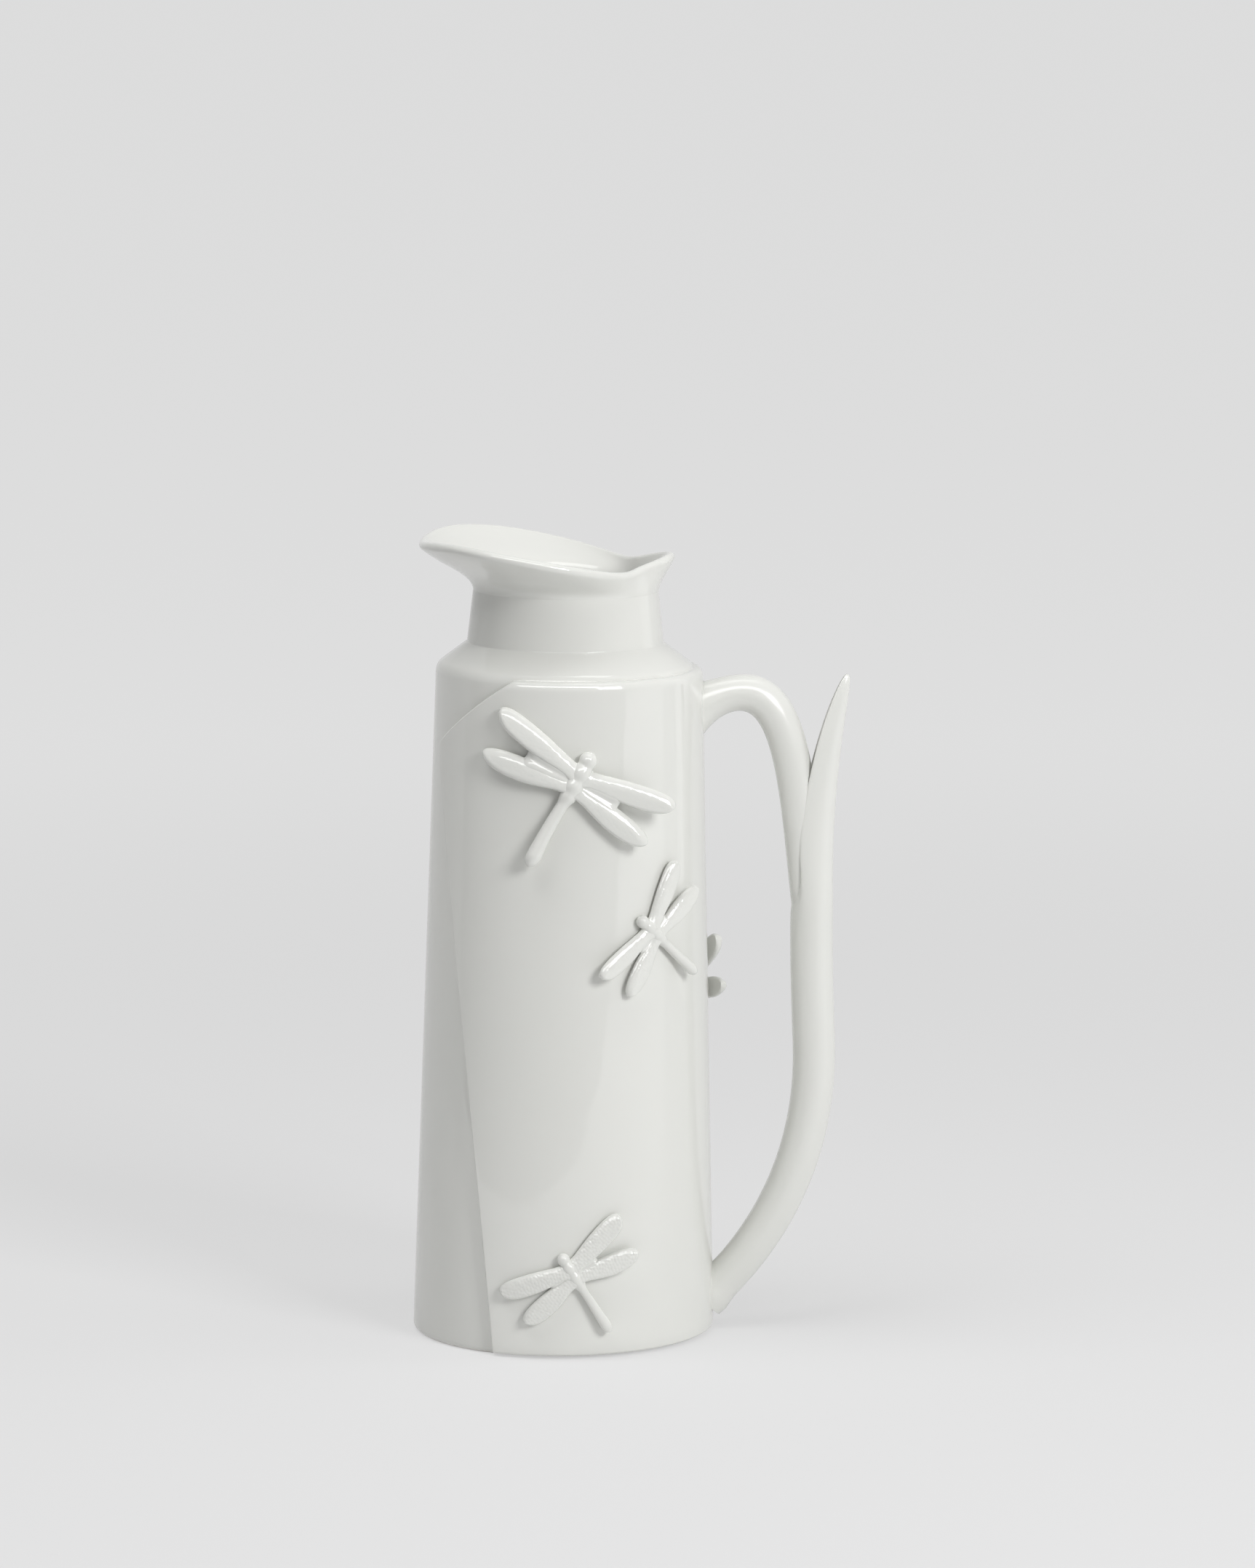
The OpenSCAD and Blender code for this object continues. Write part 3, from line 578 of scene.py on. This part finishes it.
def on_panel(fly, x, y, n):
    """Turn by the heading, tip back with the panel's taper, stand at the height and turn to the angle."""
    x, y, n = (fly["size"] * np.asarray(a, float) for a in (x, y, n))
    turn, az = math.radians(fly["heading"]), math.radians(fly["az"])
    across = x * math.cos(turn) + y * math.sin(turn)
    along = y * math.cos(turn) - x * math.sin(turn)
    out = along * math.sin(SIDE_TAPER) - n * math.cos(SIDE_TAPER) - panel_radius(fly["h"])
    up = along * math.cos(SIDE_TAPER) + n * math.sin(SIDE_TAPER) + fly["h"]
    right = across * math.cos(az) - out * math.sin(az)
    back = across * math.sin(az) + out * math.cos(az)
    return leaned(right, back, up)


for place, fly in FLIES.items():
    print("the", place, "dragonfly sits at", fly["az"], "degrees and", round(fly["h"], 1), "mm")

# %% [markdown]
# ## A dragonfly's body
# The body is rolled from small lumps: a round head, two thorax beads and a long abdomen with a blunt
# end. Separate balls would meet in sharp creases, which glaze never leaves, so one tube takes its radius
# from all of them, blended.

# %% The body
THORAX_R, HEAD_R, ABDOMEN_R, TAIL_R = 3.0, 3.1, 2.1, 2.7
HEAD_Y, FORE_BEAD_Y, HIND_BEAD_Y, WAIST_Y, TAIL_Y = 7.5, 2.6, -2.5, -7.2, -29.5
BEAD_R, CORE_R = 3.2, 2.9
CORE_FRONT, CORE_FRONT_RUN = HEAD_Y + 1, 4.0
CORE_BACK, CORE_BACK_RUN = WAIST_Y - 6, 7.0
ABDOMEN_RUN, ABDOMEN_POWER = 6.0, 2.2
TAIL_END = 4.6
PERCH = 0.75 * THORAX_R
GLAZE_FILL = 5
BODY_RINGS, BODY_SECTION, POLE_GAP = 150, 48, 0.02


def ball(y, middle, r):
    """Radius of a ball's section at a place along the body, and nothing outside it."""
    return np.sqrt(np.clip(r * r - (y - middle) ** 2, 0, None))


def body_rings(fly):
    """Rings along the body. Their radius blends the head, the beads and the abdomen by the root of a sum
    of powers, so that glaze fills the notches between them. A low power fills more."""
    low, high = TAIL_Y - TAIL_END, HEAD_Y + HEAD_R
    turn = np.linspace(POLE_GAP, np.pi - POLE_GAP, BODY_RINGS)
    y = ((low + high) / 2 - (high - low) / 2 * np.cos(turn))[:, None]
    back = np.clip((WAIST_Y - y) / (WAIST_Y - TAIL_Y), 0, 1)
    swollen = ABDOMEN_R + (TAIL_R - ABDOMEN_R) * back ** ABDOMEN_POWER
    end = np.sqrt(np.clip(1 - np.clip((TAIL_Y - y) / TAIL_END, 0, 1) ** 2, 0, 1))
    abdomen = swollen * end * ease((HEAD_Y - y) / ABDOMEN_RUN)
    core = CORE_R * ease((CORE_FRONT - y) / CORE_FRONT_RUN) * ease((y - CORE_BACK) / CORE_BACK_RUN)
    head = ball(y, HEAD_Y, HEAD_R)
    lumps = [head, ball(y, FORE_BEAD_Y, BEAD_R), ball(y, HIND_BEAD_Y, BEAD_R), abdomen, core]
    radius = sum(lump ** GLAZE_FILL for lump in lumps) ** (1 / GLAZE_FILL)
    radius = np.where(y > HEAD_Y, np.minimum(radius, head), radius)
    angle = np.linspace(0, 2 * np.pi, BODY_SECTION, endpoint=False)[None, :]
    bow = 4 * fly["bow"] * back * (1 - back)
    return on_panel(fly, bow - radius * np.cos(angle), y + 0 * angle, PERCH + radius * np.sin(angle))


# %% [markdown]
# ## A dragonfly's wings
# The four wings are thick petals with a round leading edge, a soft crest along it that catches the
# light, and a hammered surface. A flat shape with Solidify would have the same thickness everywhere, so
# each wing is a row of sections along a straight vein, with a slab, a low roof and pebbles summed.

# %% The wings
WING_KINDS = {
    "forewing": dict(length=33.6, root_y=1.6, width=8.2, root_share=0.68, wide_at=0.58, end_power=3.6),
    "hindwing": dict(length=31.0, root_y=-3.2, width=8.3, root_share=0.62, wide_at=0.56, end_power=2.7),
}
WING_T, ROOT_X = 3.0, 1.2
THIN_SHARE, THICK_RUN = 0.7, 0.06
FILLET_SHARE, FILLET_RUN = 0.28, 0.05
BELLY = 0.22
LEAD_ROUND, TRAIL_ROUND = 1.0, 0.9
ROOF_SLOPE, ROOF_TOP, ROOF_FALL, ROOF_SOFT = 0.75, 1.7, 0.35, 1.1
EVEN_TO, TIP_AT = 0.7, 0.9998
EVEN_STEPS, TIP_STEPS, WING_SECTION = 84, 36, 80


def wing_width(t, width, root_share, wide_at, end_power):
    """Half width along a wing: narrow at the root, widest past the middle, blunt and round at the end."""
    body = root_share + (1 - root_share) * ease(t / wide_at) + FILLET_SHARE * np.exp(-t / FILLET_RUN)
    tip = np.sqrt(np.clip(1 - np.clip((t - wide_at) / (1 - wide_at), 0, 1) ** end_power, 0, 1))
    return width / 2 * body * tip


def wing_height(fly, x, y, side):
    """Height of a wing's middle above the panel's tangent plane: it droops with the square of its
    distance round the panel, more or less closely along the panel's curve."""
    turn = math.radians(fly["heading"])
    across = side * x * math.cos(turn) + y * math.sin(turn)
    hug = fly["hug"][0 if side < 0 else 1]
    return PERCH - fly["size"] * hug * across ** 2 / (2 * SHOULDER_R)


# %% Hammered clay
PEBBLE_ROWS, PEBBLE_COLS = 34, 8
PEBBLE_ALONG, PEBBLE_ACROSS = 1.05, 1.15
PEBBLE_JITTER, PEBBLE_AREA = 0.32, 0.55


def pebbles(u, v, seed):
    """Low round pebbles, as in hammered clay: one minus the squared distance to the nearest of a
    staggered set of spots, in millimetres along and across the wing. Sines of large steps jitter them."""
    rows, cols = np.arange(PEBBLE_ROWS), np.arange(PEBBLE_COLS)
    i, j = [a.ravel() for a in np.meshgrid(rows, cols, indexing="ij")]
    shift_u = PEBBLE_JITTER * np.sin(12.9 * i + 78.2 * j + seed)
    shift_v = PEBBLE_JITTER * np.sin(39.3 * i + 11.1 * j + 2.7 * seed)
    spot_u = PEBBLE_ALONG * (i + 0.5 * (j % 2) + shift_u)
    spot_v = PEBBLE_ACROSS * (j - (PEBBLE_COLS - 1) / 2 + shift_v)
    gap = (u[..., None] - spot_u) ** 2 + (v[..., None] - spot_v) ** 2
    return 1 - np.clip(gap.min(axis=-1) / PEBBLE_AREA, 0, 1)


# %% A wing's surface


def wing_rings(fly, angle_deg, length, root_y, width, root_share, wide_at, end_power, side, seed):
    """Sections of a thick petal along a straight vein: a slab with round edges, and on it a low roof that
    rises from the leading edge to a soft crest and falls gently behind it, with low pebbles."""
    angle = math.radians(angle_deg)
    even = np.linspace(0, EVEN_TO, EVEN_STEPS)[:-1]
    tip = EVEN_TO + (TIP_AT - EVEN_TO) * np.sin(np.linspace(0, np.pi / 2, TIP_STEPS))
    t = np.concatenate([even, tip])[:, None]
    a = np.linspace(0, 2 * np.pi, WING_SECTION, endpoint=False)[None, :]
    chord, face = np.cos(a), np.sign(np.round(np.sin(a), 9))
    width = width * fly["plump"]
    half = wing_width(t, width, root_share, wide_at, end_power)
    lead, trail = (1 - chord) * half, (1 + chord) * half
    slab = face * quarter(lead, LEAD_ROUND) * quarter(trail, TRAIL_ROUND)
    rising, falling = ROOF_SLOPE * lead, ROOF_TOP * (1 - ROOF_FALL * lead / width)
    crest = (rising + falling - np.hypot(rising - falling, ROOF_SOFT)) / 2
    roof = crest * quarter(trail, 2 * TRAIL_ROUND)
    along, across = t * length * fly["size"], chord * half * fly["size"]
    hammered = fly["relief"] / fly["size"] * pebbles(along + 0 * across, across + 0 * along, seed)
    thick = WING_T / 2 * (THIN_SHARE + (1 - THIN_SHARE) * np.exp(-t / THICK_RUN))
    lift = slab * thick + np.clip(slab, 0, 1) * (roof + hammered)
    belly = -BELLY * (half - width / 2 * root_share) + half * chord
    vein_x, vein_y = ROOT_X + t * length * math.sin(angle), root_y + t * length * math.cos(angle)
    x = vein_x - belly * math.cos(angle)
    y = vein_y + belly * math.sin(angle)
    rings = on_panel(fly, side * x, y, wing_height(fly, vein_x, vein_y, side) + lift)
    return rings if side > 0 else rings[:, ::-1]


# %% [markdown]
# ## Webs of glaze
# Glaze runs together in the narrow gap between a forewing and a hindwing and hides their seam near the
# body. A fluid simulation would be far too much for that, so a saddle is stretched over the gap.

# %% The webs between wings
VALLEY_AT, VALLEY_WIDE, VALLEY_DEPTH, VALLEY_START = 0.56, 0.12, 0.8, 0.2
WEB_RISE, WEB_SINK, WEB_GAP = 2.3, 0.3, 0.02
NOTCH_SPREAD, WEB_CROWD, WEB_EDGE = 0.16, 1.6, 0.2
WEB_ROWS, WEB_COLS = 40, 41


def web_sheets(fly, fore_deg, hind_deg, side):
    """A saddle of glaze between two wings: it spans the fan between their middle lines just under their
    tops, runs on from the forewing, sinks into a valley along the hindwing, and ends in a round notch."""
    v = np.linspace(0, 1, WEB_COLS)[None, :]
    reach = fly["notch"][0 if side < 0 else 1] + NOTCH_SPREAD * (2 * v - 1) ** 2
    s = 1 - (1 - np.linspace(0, 1, WEB_ROWS)[:, None]) ** WEB_CROWD
    t = s * reach
    angle = np.radians(fore_deg + (hind_deg - fore_deg) * v)
    fore, hind = WING_KINDS.values()
    length, root_y = (fore[size] + (hind[size] - fore[size]) * v for size in ("length", "root_y"))
    x = ROOT_X + t * length * np.sin(angle)
    y = root_y + t * length * np.cos(angle)
    bed = wing_height(fly, x, y, side) - WEB_SINK
    edge = quarter(1 - s, WEB_EDGE)
    deeper = VALLEY_START + (1 - VALLEY_START) * s
    valley = np.exp(-((v - VALLEY_AT) / VALLEY_WIDE) ** 2) * deeper
    top = bed + (WEB_RISE - VALLEY_DEPTH * valley) * edge
    under = bed - WEB_GAP - WING_T / 2 * THIN_SHARE * edge
    sheets = [on_panel(fly, side * x, y, n) for n in (top, under)]
    return sheets if side > 0 else [a[:, ::-1] for a in sheets]


# %% Four dragonflies
pieces = {
    "vessel_body": vessel, "pouring_lip": lip, "wrap_panel": panel,
    "handle_stem": stem, "handle_arch": arch,
}
webs = []
for place, fly in FLIES.items():
    name = "dragonfly_" + place
    pieces[name + "_body"] = tube(name + "_body", body_rings(fly))
    for k, (hand, kind) in enumerate((h, w) for h in ("left", "right") for w in WING_KINDS):
        side = -1 if hand == "left" else 1
        wing = name + "_" + hand + "_" + kind
        rings = wing_rings(fly, fly["wings"][k], **WING_KINDS[kind], side=side, seed=k + fly["az"])
        pieces[wing] = tube(wing, rings)
        if kind == "forewing":
            sheets = web_sheets(fly, *fly["wings"][k:k + 2], side)
            webs.append(leaf(name + "_" + hand + "_web", *sheets))

# %% [markdown]
# ## Shader sums in Python
# A material's maths is easier to read as a Python expression than as a row of nodes. The class below
# wraps a node's output. Each operator adds one Math node, and the method makes any other node.

# %% The socket class


class Socket:
    """An output of a node tree that takes part in sums."""

    def __init__(self, tree, output):
        self.tree = tree
        self.output = output

    def node(self, kind, settings, values, result=0):
        """A new node of a kind: settings first, then the values or links of its inputs."""
        made = self.tree.nodes.new(kind)
        for key, value in settings.items():
            setattr(made, key, value)
        for key, value in values.items():
            if isinstance(value, Socket):
                self.tree.links.new(value.output, made.inputs[key])
            else:
                made.inputs[key].default_value = value
        return Socket(self.tree, made.outputs[result])

    def maths(self, operation, a, b):
        """A Math node on two values."""
        return self.node("ShaderNodeMath", {"operation": operation}, {0: a, 1: b})

    def __add__(self, other):
        return self.maths("ADD", self, other)

    def __sub__(self, other):
        return self.maths("SUBTRACT", self, other)

    def __rsub__(self, other):
        return self.maths("SUBTRACT", other, self)

    def __mul__(self, other):
        return self.maths("MULTIPLY", self, other)

    __radd__ = __add__
    __rmul__ = __mul__

    def noise(self, waves, detail):
        """Soft noise, about 0 to 1, with that many waves in a metre."""
        values = {"Vector": self, "Scale": waves, "Detail": detail}
        return self.node("ShaderNodeTexNoise", {}, values, "Fac")

    def between(self, low, high):
        """A soft step from 0 to 1 as this value goes from low to high."""
        return self.node(
            "ShaderNodeMapRange", {"interpolation_type": "SMOOTHSTEP"},
            {"Value": self, "From Min": low, "From Max": high},
        )

    def blend(self, a, b):
        """Colour a where this value is 0, and b where it is 1."""
        return self.node("ShaderNodeMix", {"data_type": "RGBA"}, {0: self, 6: a, 7: b}, 2)

    def into(self, shader, name):
        """Link this output to an input of a shader."""
        self.tree.links.new(self.output, shader.inputs[name])


# %% [markdown]
# ## Glazed porcelain
# Porcelain is a warm white body under a clear glaze. The colour drifts a little where the glaze lies
# thicker, the gloss is not quite even, and the surface has a slow ripple that makes highlights waver.
# The handle's highlights are softer in the photograph, so its coat is set a little less sharp. The ring
# that the foot stands on is taken as wiped clean of glaze, so it is dull and a little whiter. A plain
# Principled shader with noise on Object coordinates does all this, and no picture is needed.

# %% The glaze
CLAY = (0.76, 0.76, 0.728, 1)
POOLED = (0.72, 0.73, 0.693, 1)
BARE = (0.82, 0.80, 0.76, 1)
DRIFT_WAVES, SPECK_WAVES, GLOSS_WAVES = 18, 2400, 60
SPECK_FROM, SPECK_TO = 0.70, 0.78
DRIFT_SHARE, SPECK_SHARE = 0.7, 0.15
CLEAR_DULL, STEM_DULL, DULL_DRIFT, BARE_DULL = 0.012, 0.2, 0.02, 0.5
BODY_RIPPLE, FLY_RIPPLE, RIPPLE_DEPTH = 45, 320, 0.00012
BARE_H, BARE_FADE = 0.0012, 0.6
GLAZE_IOR = 1.52


def new_material(name):
    """An empty material with its shader and the Object coordinates to draw patterns with."""
    material = bpy.data.materials.new(name)
    material.use_nodes = True
    tree = material.node_tree
    shader = tree.nodes["Principled BSDF"]
    place = Socket(tree, tree.nodes.new("ShaderNodeTexCoord").outputs["Object"])
    return material, shader, place


def glazed(name, ripple_waves, dull=CLEAR_DULL, bare_below=None):
    """Porcelain under clear glaze, with ripple waves in a metre, and bare clay under a height in metres."""
    material, shader, place = new_material(name)
    drift = place.noise(DRIFT_WAVES, 3)
    specks = place.noise(SPECK_WAVES, 1).between(SPECK_FROM, SPECK_TO)
    colour = (drift * DRIFT_SHARE + specks * SPECK_SHARE).blend(CLAY, POOLED)
    gloss = dull + place.noise(GLOSS_WAVES, 2) * DULL_DRIFT
    if bare_below is not None:
        height = place.node("ShaderNodeSeparateXYZ", {}, {0: place}, "Z")
        bare = 1 - height.between(bare_below * BARE_FADE, bare_below)
        colour = bare.blend(colour, BARE)
        gloss = gloss + bare * BARE_DULL
    colour.into(shader, "Base Color")
    gloss.into(shader, "Roughness")
    ripple = {"Strength": 1.0, "Distance": RIPPLE_DEPTH, "Height": place.noise(ripple_waves, 2)}
    place.node("ShaderNodeBump", {}, ripple).into(shader, "Normal")
    shader.inputs["IOR"].default_value = GLAZE_IOR
    print(name, "has", len(material.node_tree.nodes), "nodes")
    return material


body_glaze = glazed("glazed_porcelain", BODY_RIPPLE, bare_below=BARE_H)
stem_glaze = glazed("glazed_stem", BODY_RIPPLE, dull=STEM_DULL)
fly_glaze = glazed("glazed_dragonfly", FLY_RIPPLE)

# %% Dress the pieces
coats = {"dragonfly": fly_glaze, "handle": stem_glaze}
for name, piece in pieces.items():
    piece.data.materials.append(coats.get(name.split("_")[0], body_glaze))
    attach(piece, "root")
    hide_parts(name)
for web in webs:
    web.data.materials.append(fly_glaze)
    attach(web, "root")
print(len(pieces), "pieces replace solids, and", len(webs), "webs are added")

# %% [markdown]
# ## The sky
# A studio is pale all round. The eye, and whatever mirrors in the glaze, sees one even pale grey, by way
# of the Light Path node, while the sky lights the carafe only a little, so that the lamps shape it.

# %% The sky
PALE = 0.78
SKY_LEVEL = 0.17
WHITE = (1, 1, 1, 1)


def ray(tree, kind):
    """1 for rays of a kind, 0 for the others."""
    return Socket(tree, tree.nodes.new("ShaderNodeLightPath").outputs["Is " + kind + " Ray"])


def seen(tree):
    """1 for rays that come from the eye or from a mirroring surface, 0 for the others."""
    eye = ray(tree, "Camera")
    return eye.maths("MAXIMUM", eye, ray(tree, "Glossy"))


world = bpy.data.worlds.new("sky")
bpy.context.scene.world = world
world.use_nodes = True
sky = world.node_tree.nodes["Background"]
sky.inputs["Color"].default_value = WHITE
(seen(world.node_tree) * (PALE - SKY_LEVEL) + SKY_LEVEL).into(sky, "Strength")
print("the sky looks", PALE, "and lights at", SKY_LEVEL)

# %% [markdown]
# ## The floor
# The carafe stands on wide pale paper. Paper lit by lamps grows dark far from them, so a share of what
# the eye sees is an even glow, and the rest is lit paper, which keeps the carafe's shadow. The share of
# glow grows with the distance. In front of the carafe, a painted reflection is put into the glow that
# the glaze mirrors: brighter before a slanted line on the paper and darker behind it.

# %% The floor
FLOOR_HALF = 60.0
PAPER, PAPER_GRAIN = (0.80, 0.80, 0.805, 1), (0.788, 0.788, 0.792925, 1)
GRAIN_WAVES = 900
PAPER_DULL, PAPER_SHEEN = 0.85, 0.2
NEAR_GLOW, FAR_GLOW = 0.62, 0.90
FADE_FROM, FADE_TO = 0.25, 1.6
# The slanted line of the painted reflection that the glaze mirrors, and how soft it is.
REFLECTION_EDGE, REFLECTION_SLANT, REFLECTION_SOFT = -0.46, 0.57, 0.012
FRONT_FROM, FRONT_TO = -0.12, -0.02
# Tints of the painted reflection: bright before the slanted line, dark behind it.
BRIGHT_REFLECTION_TINT, DARK_REFLECTION_TINT = (1.8, 1.8, 1.8, 1), (0.4, 0.4, 0.4, 1)

paper, paper_shader, paper_place = new_material("paper")
paper_place.noise(GRAIN_WAVES, 4).blend(PAPER, PAPER_GRAIN).into(paper_shader, "Base Color")
paper_shader.inputs["Roughness"].default_value = PAPER_DULL
paper_shader.inputs["Specular IOR Level"].default_value = PAPER_SHEEN
tree = paper.node_tree
glow = tree.nodes.new("ShaderNodeEmission")
glow.inputs["Strength"].default_value = PALE
floor_x, floor_y = (paper_place.node("ShaderNodeSeparateXYZ", {}, {0: paper_place}, axis) for axis in "XY")
# Painted reflection: glossy rays that meet the paper in front see its glow brighter before the slanted line
# and darker behind it.
near = (floor_y + floor_x * REFLECTION_SLANT).between(REFLECTION_EDGE - REFLECTION_SOFT, REFLECTION_EDGE + REFLECTION_SOFT)
front = 1 - floor_y.between(FRONT_FROM, FRONT_TO)
(ray(tree, "Glossy") * front).blend(WHITE, near.blend(DARK_REFLECTION_TINT, BRIGHT_REFLECTION_TINT)).into(glow, "Color")
distance = paper_place.node("ShaderNodeVectorMath", {"operation": "LENGTH"}, {0: paper_place}, "Value")
glow_share = NEAR_GLOW + distance.between(FADE_FROM, FADE_TO) * (FAR_GLOW - NEAR_GLOW)
mixed = tree.nodes.new("ShaderNodeMixShader")
(seen(tree) * glow_share).into(mixed, 0)
tree.links.new(paper_shader.outputs[0], mixed.inputs[1])
tree.links.new(glow.outputs[0], mixed.inputs[2])
tree.links.new(mixed.outputs[0], tree.nodes["Material Output"].inputs["Surface"])
corners = np.array([(-1, -1, 0), (1, -1, 0), (1, 1, 0), (-1, 1, 0)]) * FLOOR_HALF / MM
floor = make_mesh("paper_floor", corners, [[0, 1, 2, 3]])
floor.data.materials.append(paper)

# %% [markdown]
# ## The lamps
# Soft lamps stand on a sphere round the carafe, and each has a level: how bright a white sheet becomes
# that faces it. The key lamp on the right shapes the relief. A lamp high on the left fills the spout
# side, and one overhead lights the shoulder. On the right, one lamp fills the handle and a tall strip
# draws the edge. The front lamp shows only as a sheen in the glaze, and the fills only as light.

# %% Lamps
MIDDLE = np.array([0.02, 0.0, 0.14])
LAMP_DISTANCE, STRIP_DISTANCE = 1.8, 1.1


def soft_lamp(name, azimuth, elevation, distance, size, level):
    """A lamp that faces the carafe. Azimuth runs from the front to the right, in degrees, and the size is
    its width and height in metres. White clay that faces it shines at the level: power is level times
    pi squared times the distance squared."""
    light = bpy.data.lights.new(name, "AREA")
    light.shape = "RECTANGLE"
    light.size, light.size_y = size
    light.energy = level * (math.pi * distance) ** 2
    lamp = bpy.data.objects.new(name, light)
    bpy.context.scene.collection.objects.link(lamp)
    turn, lift = math.radians(azimuth), math.radians(elevation)
    way = np.array([math.sin(turn) * math.cos(lift), -math.cos(turn) * math.cos(lift), math.sin(lift)])
    lamp.location = MIDDLE + distance * way
    lamp.rotation_euler = (math.pi / 2 - lift, 0, turn)
    print(name, "stands at", [round(c, 2) for c in lamp.location])
    return lamp


soft_lamp("key_lamp", 39, 26, LAMP_DISTANCE, (0.6, 0.6), 0.52)
soft_lamp("front_lamp", -6, 42, LAMP_DISTANCE, (2.0, 0.45), 0.60).visible_diffuse = False
soft_lamp("top_lamp", 0, 87, LAMP_DISTANCE, (1.5, 0.4), 0.17)
soft_lamp("side_lamp", 92, 16, LAMP_DISTANCE, (0.6, 0.9), 0.12).visible_glossy = False
soft_lamp("strip_lamp", 113, 5, STRIP_DISTANCE, (0.36, 1.4), 0.06)
soft_lamp("left_lamp", -60, 66, LAMP_DISTANCE, (1.2, 1.2), 0.42).visible_glossy = False

# %% [markdown]
# ## The camera
# The photograph was taken with a long lens from a little above. The camera stands straight in front and
# looks down by the same angle, and the lens gives the same number of pixels to a metre.

# %% The camera
PHOTO_H = 2156
FOCAL_PX = 9000
PITCH = 8.25
SENSOR = 36.0
CAMERA_PLACE = (0.02413, -2.261, 0.5206)
camera_data = bpy.data.cameras.new("camera")
camera_data.sensor_width = SENSOR
camera_data.lens = FOCAL_PX / PHOTO_H * SENSOR
camera = bpy.data.objects.new("camera", camera_data)
bpy.context.scene.collection.objects.link(camera)
camera.location = CAMERA_PLACE
camera.rotation_euler = (math.radians(90 - PITCH), 0, 0)
bpy.context.scene.camera = camera
bpy.context.scene.view_settings.view_transform = "Standard"
print("the lens is", round(camera_data.lens), "mm long")
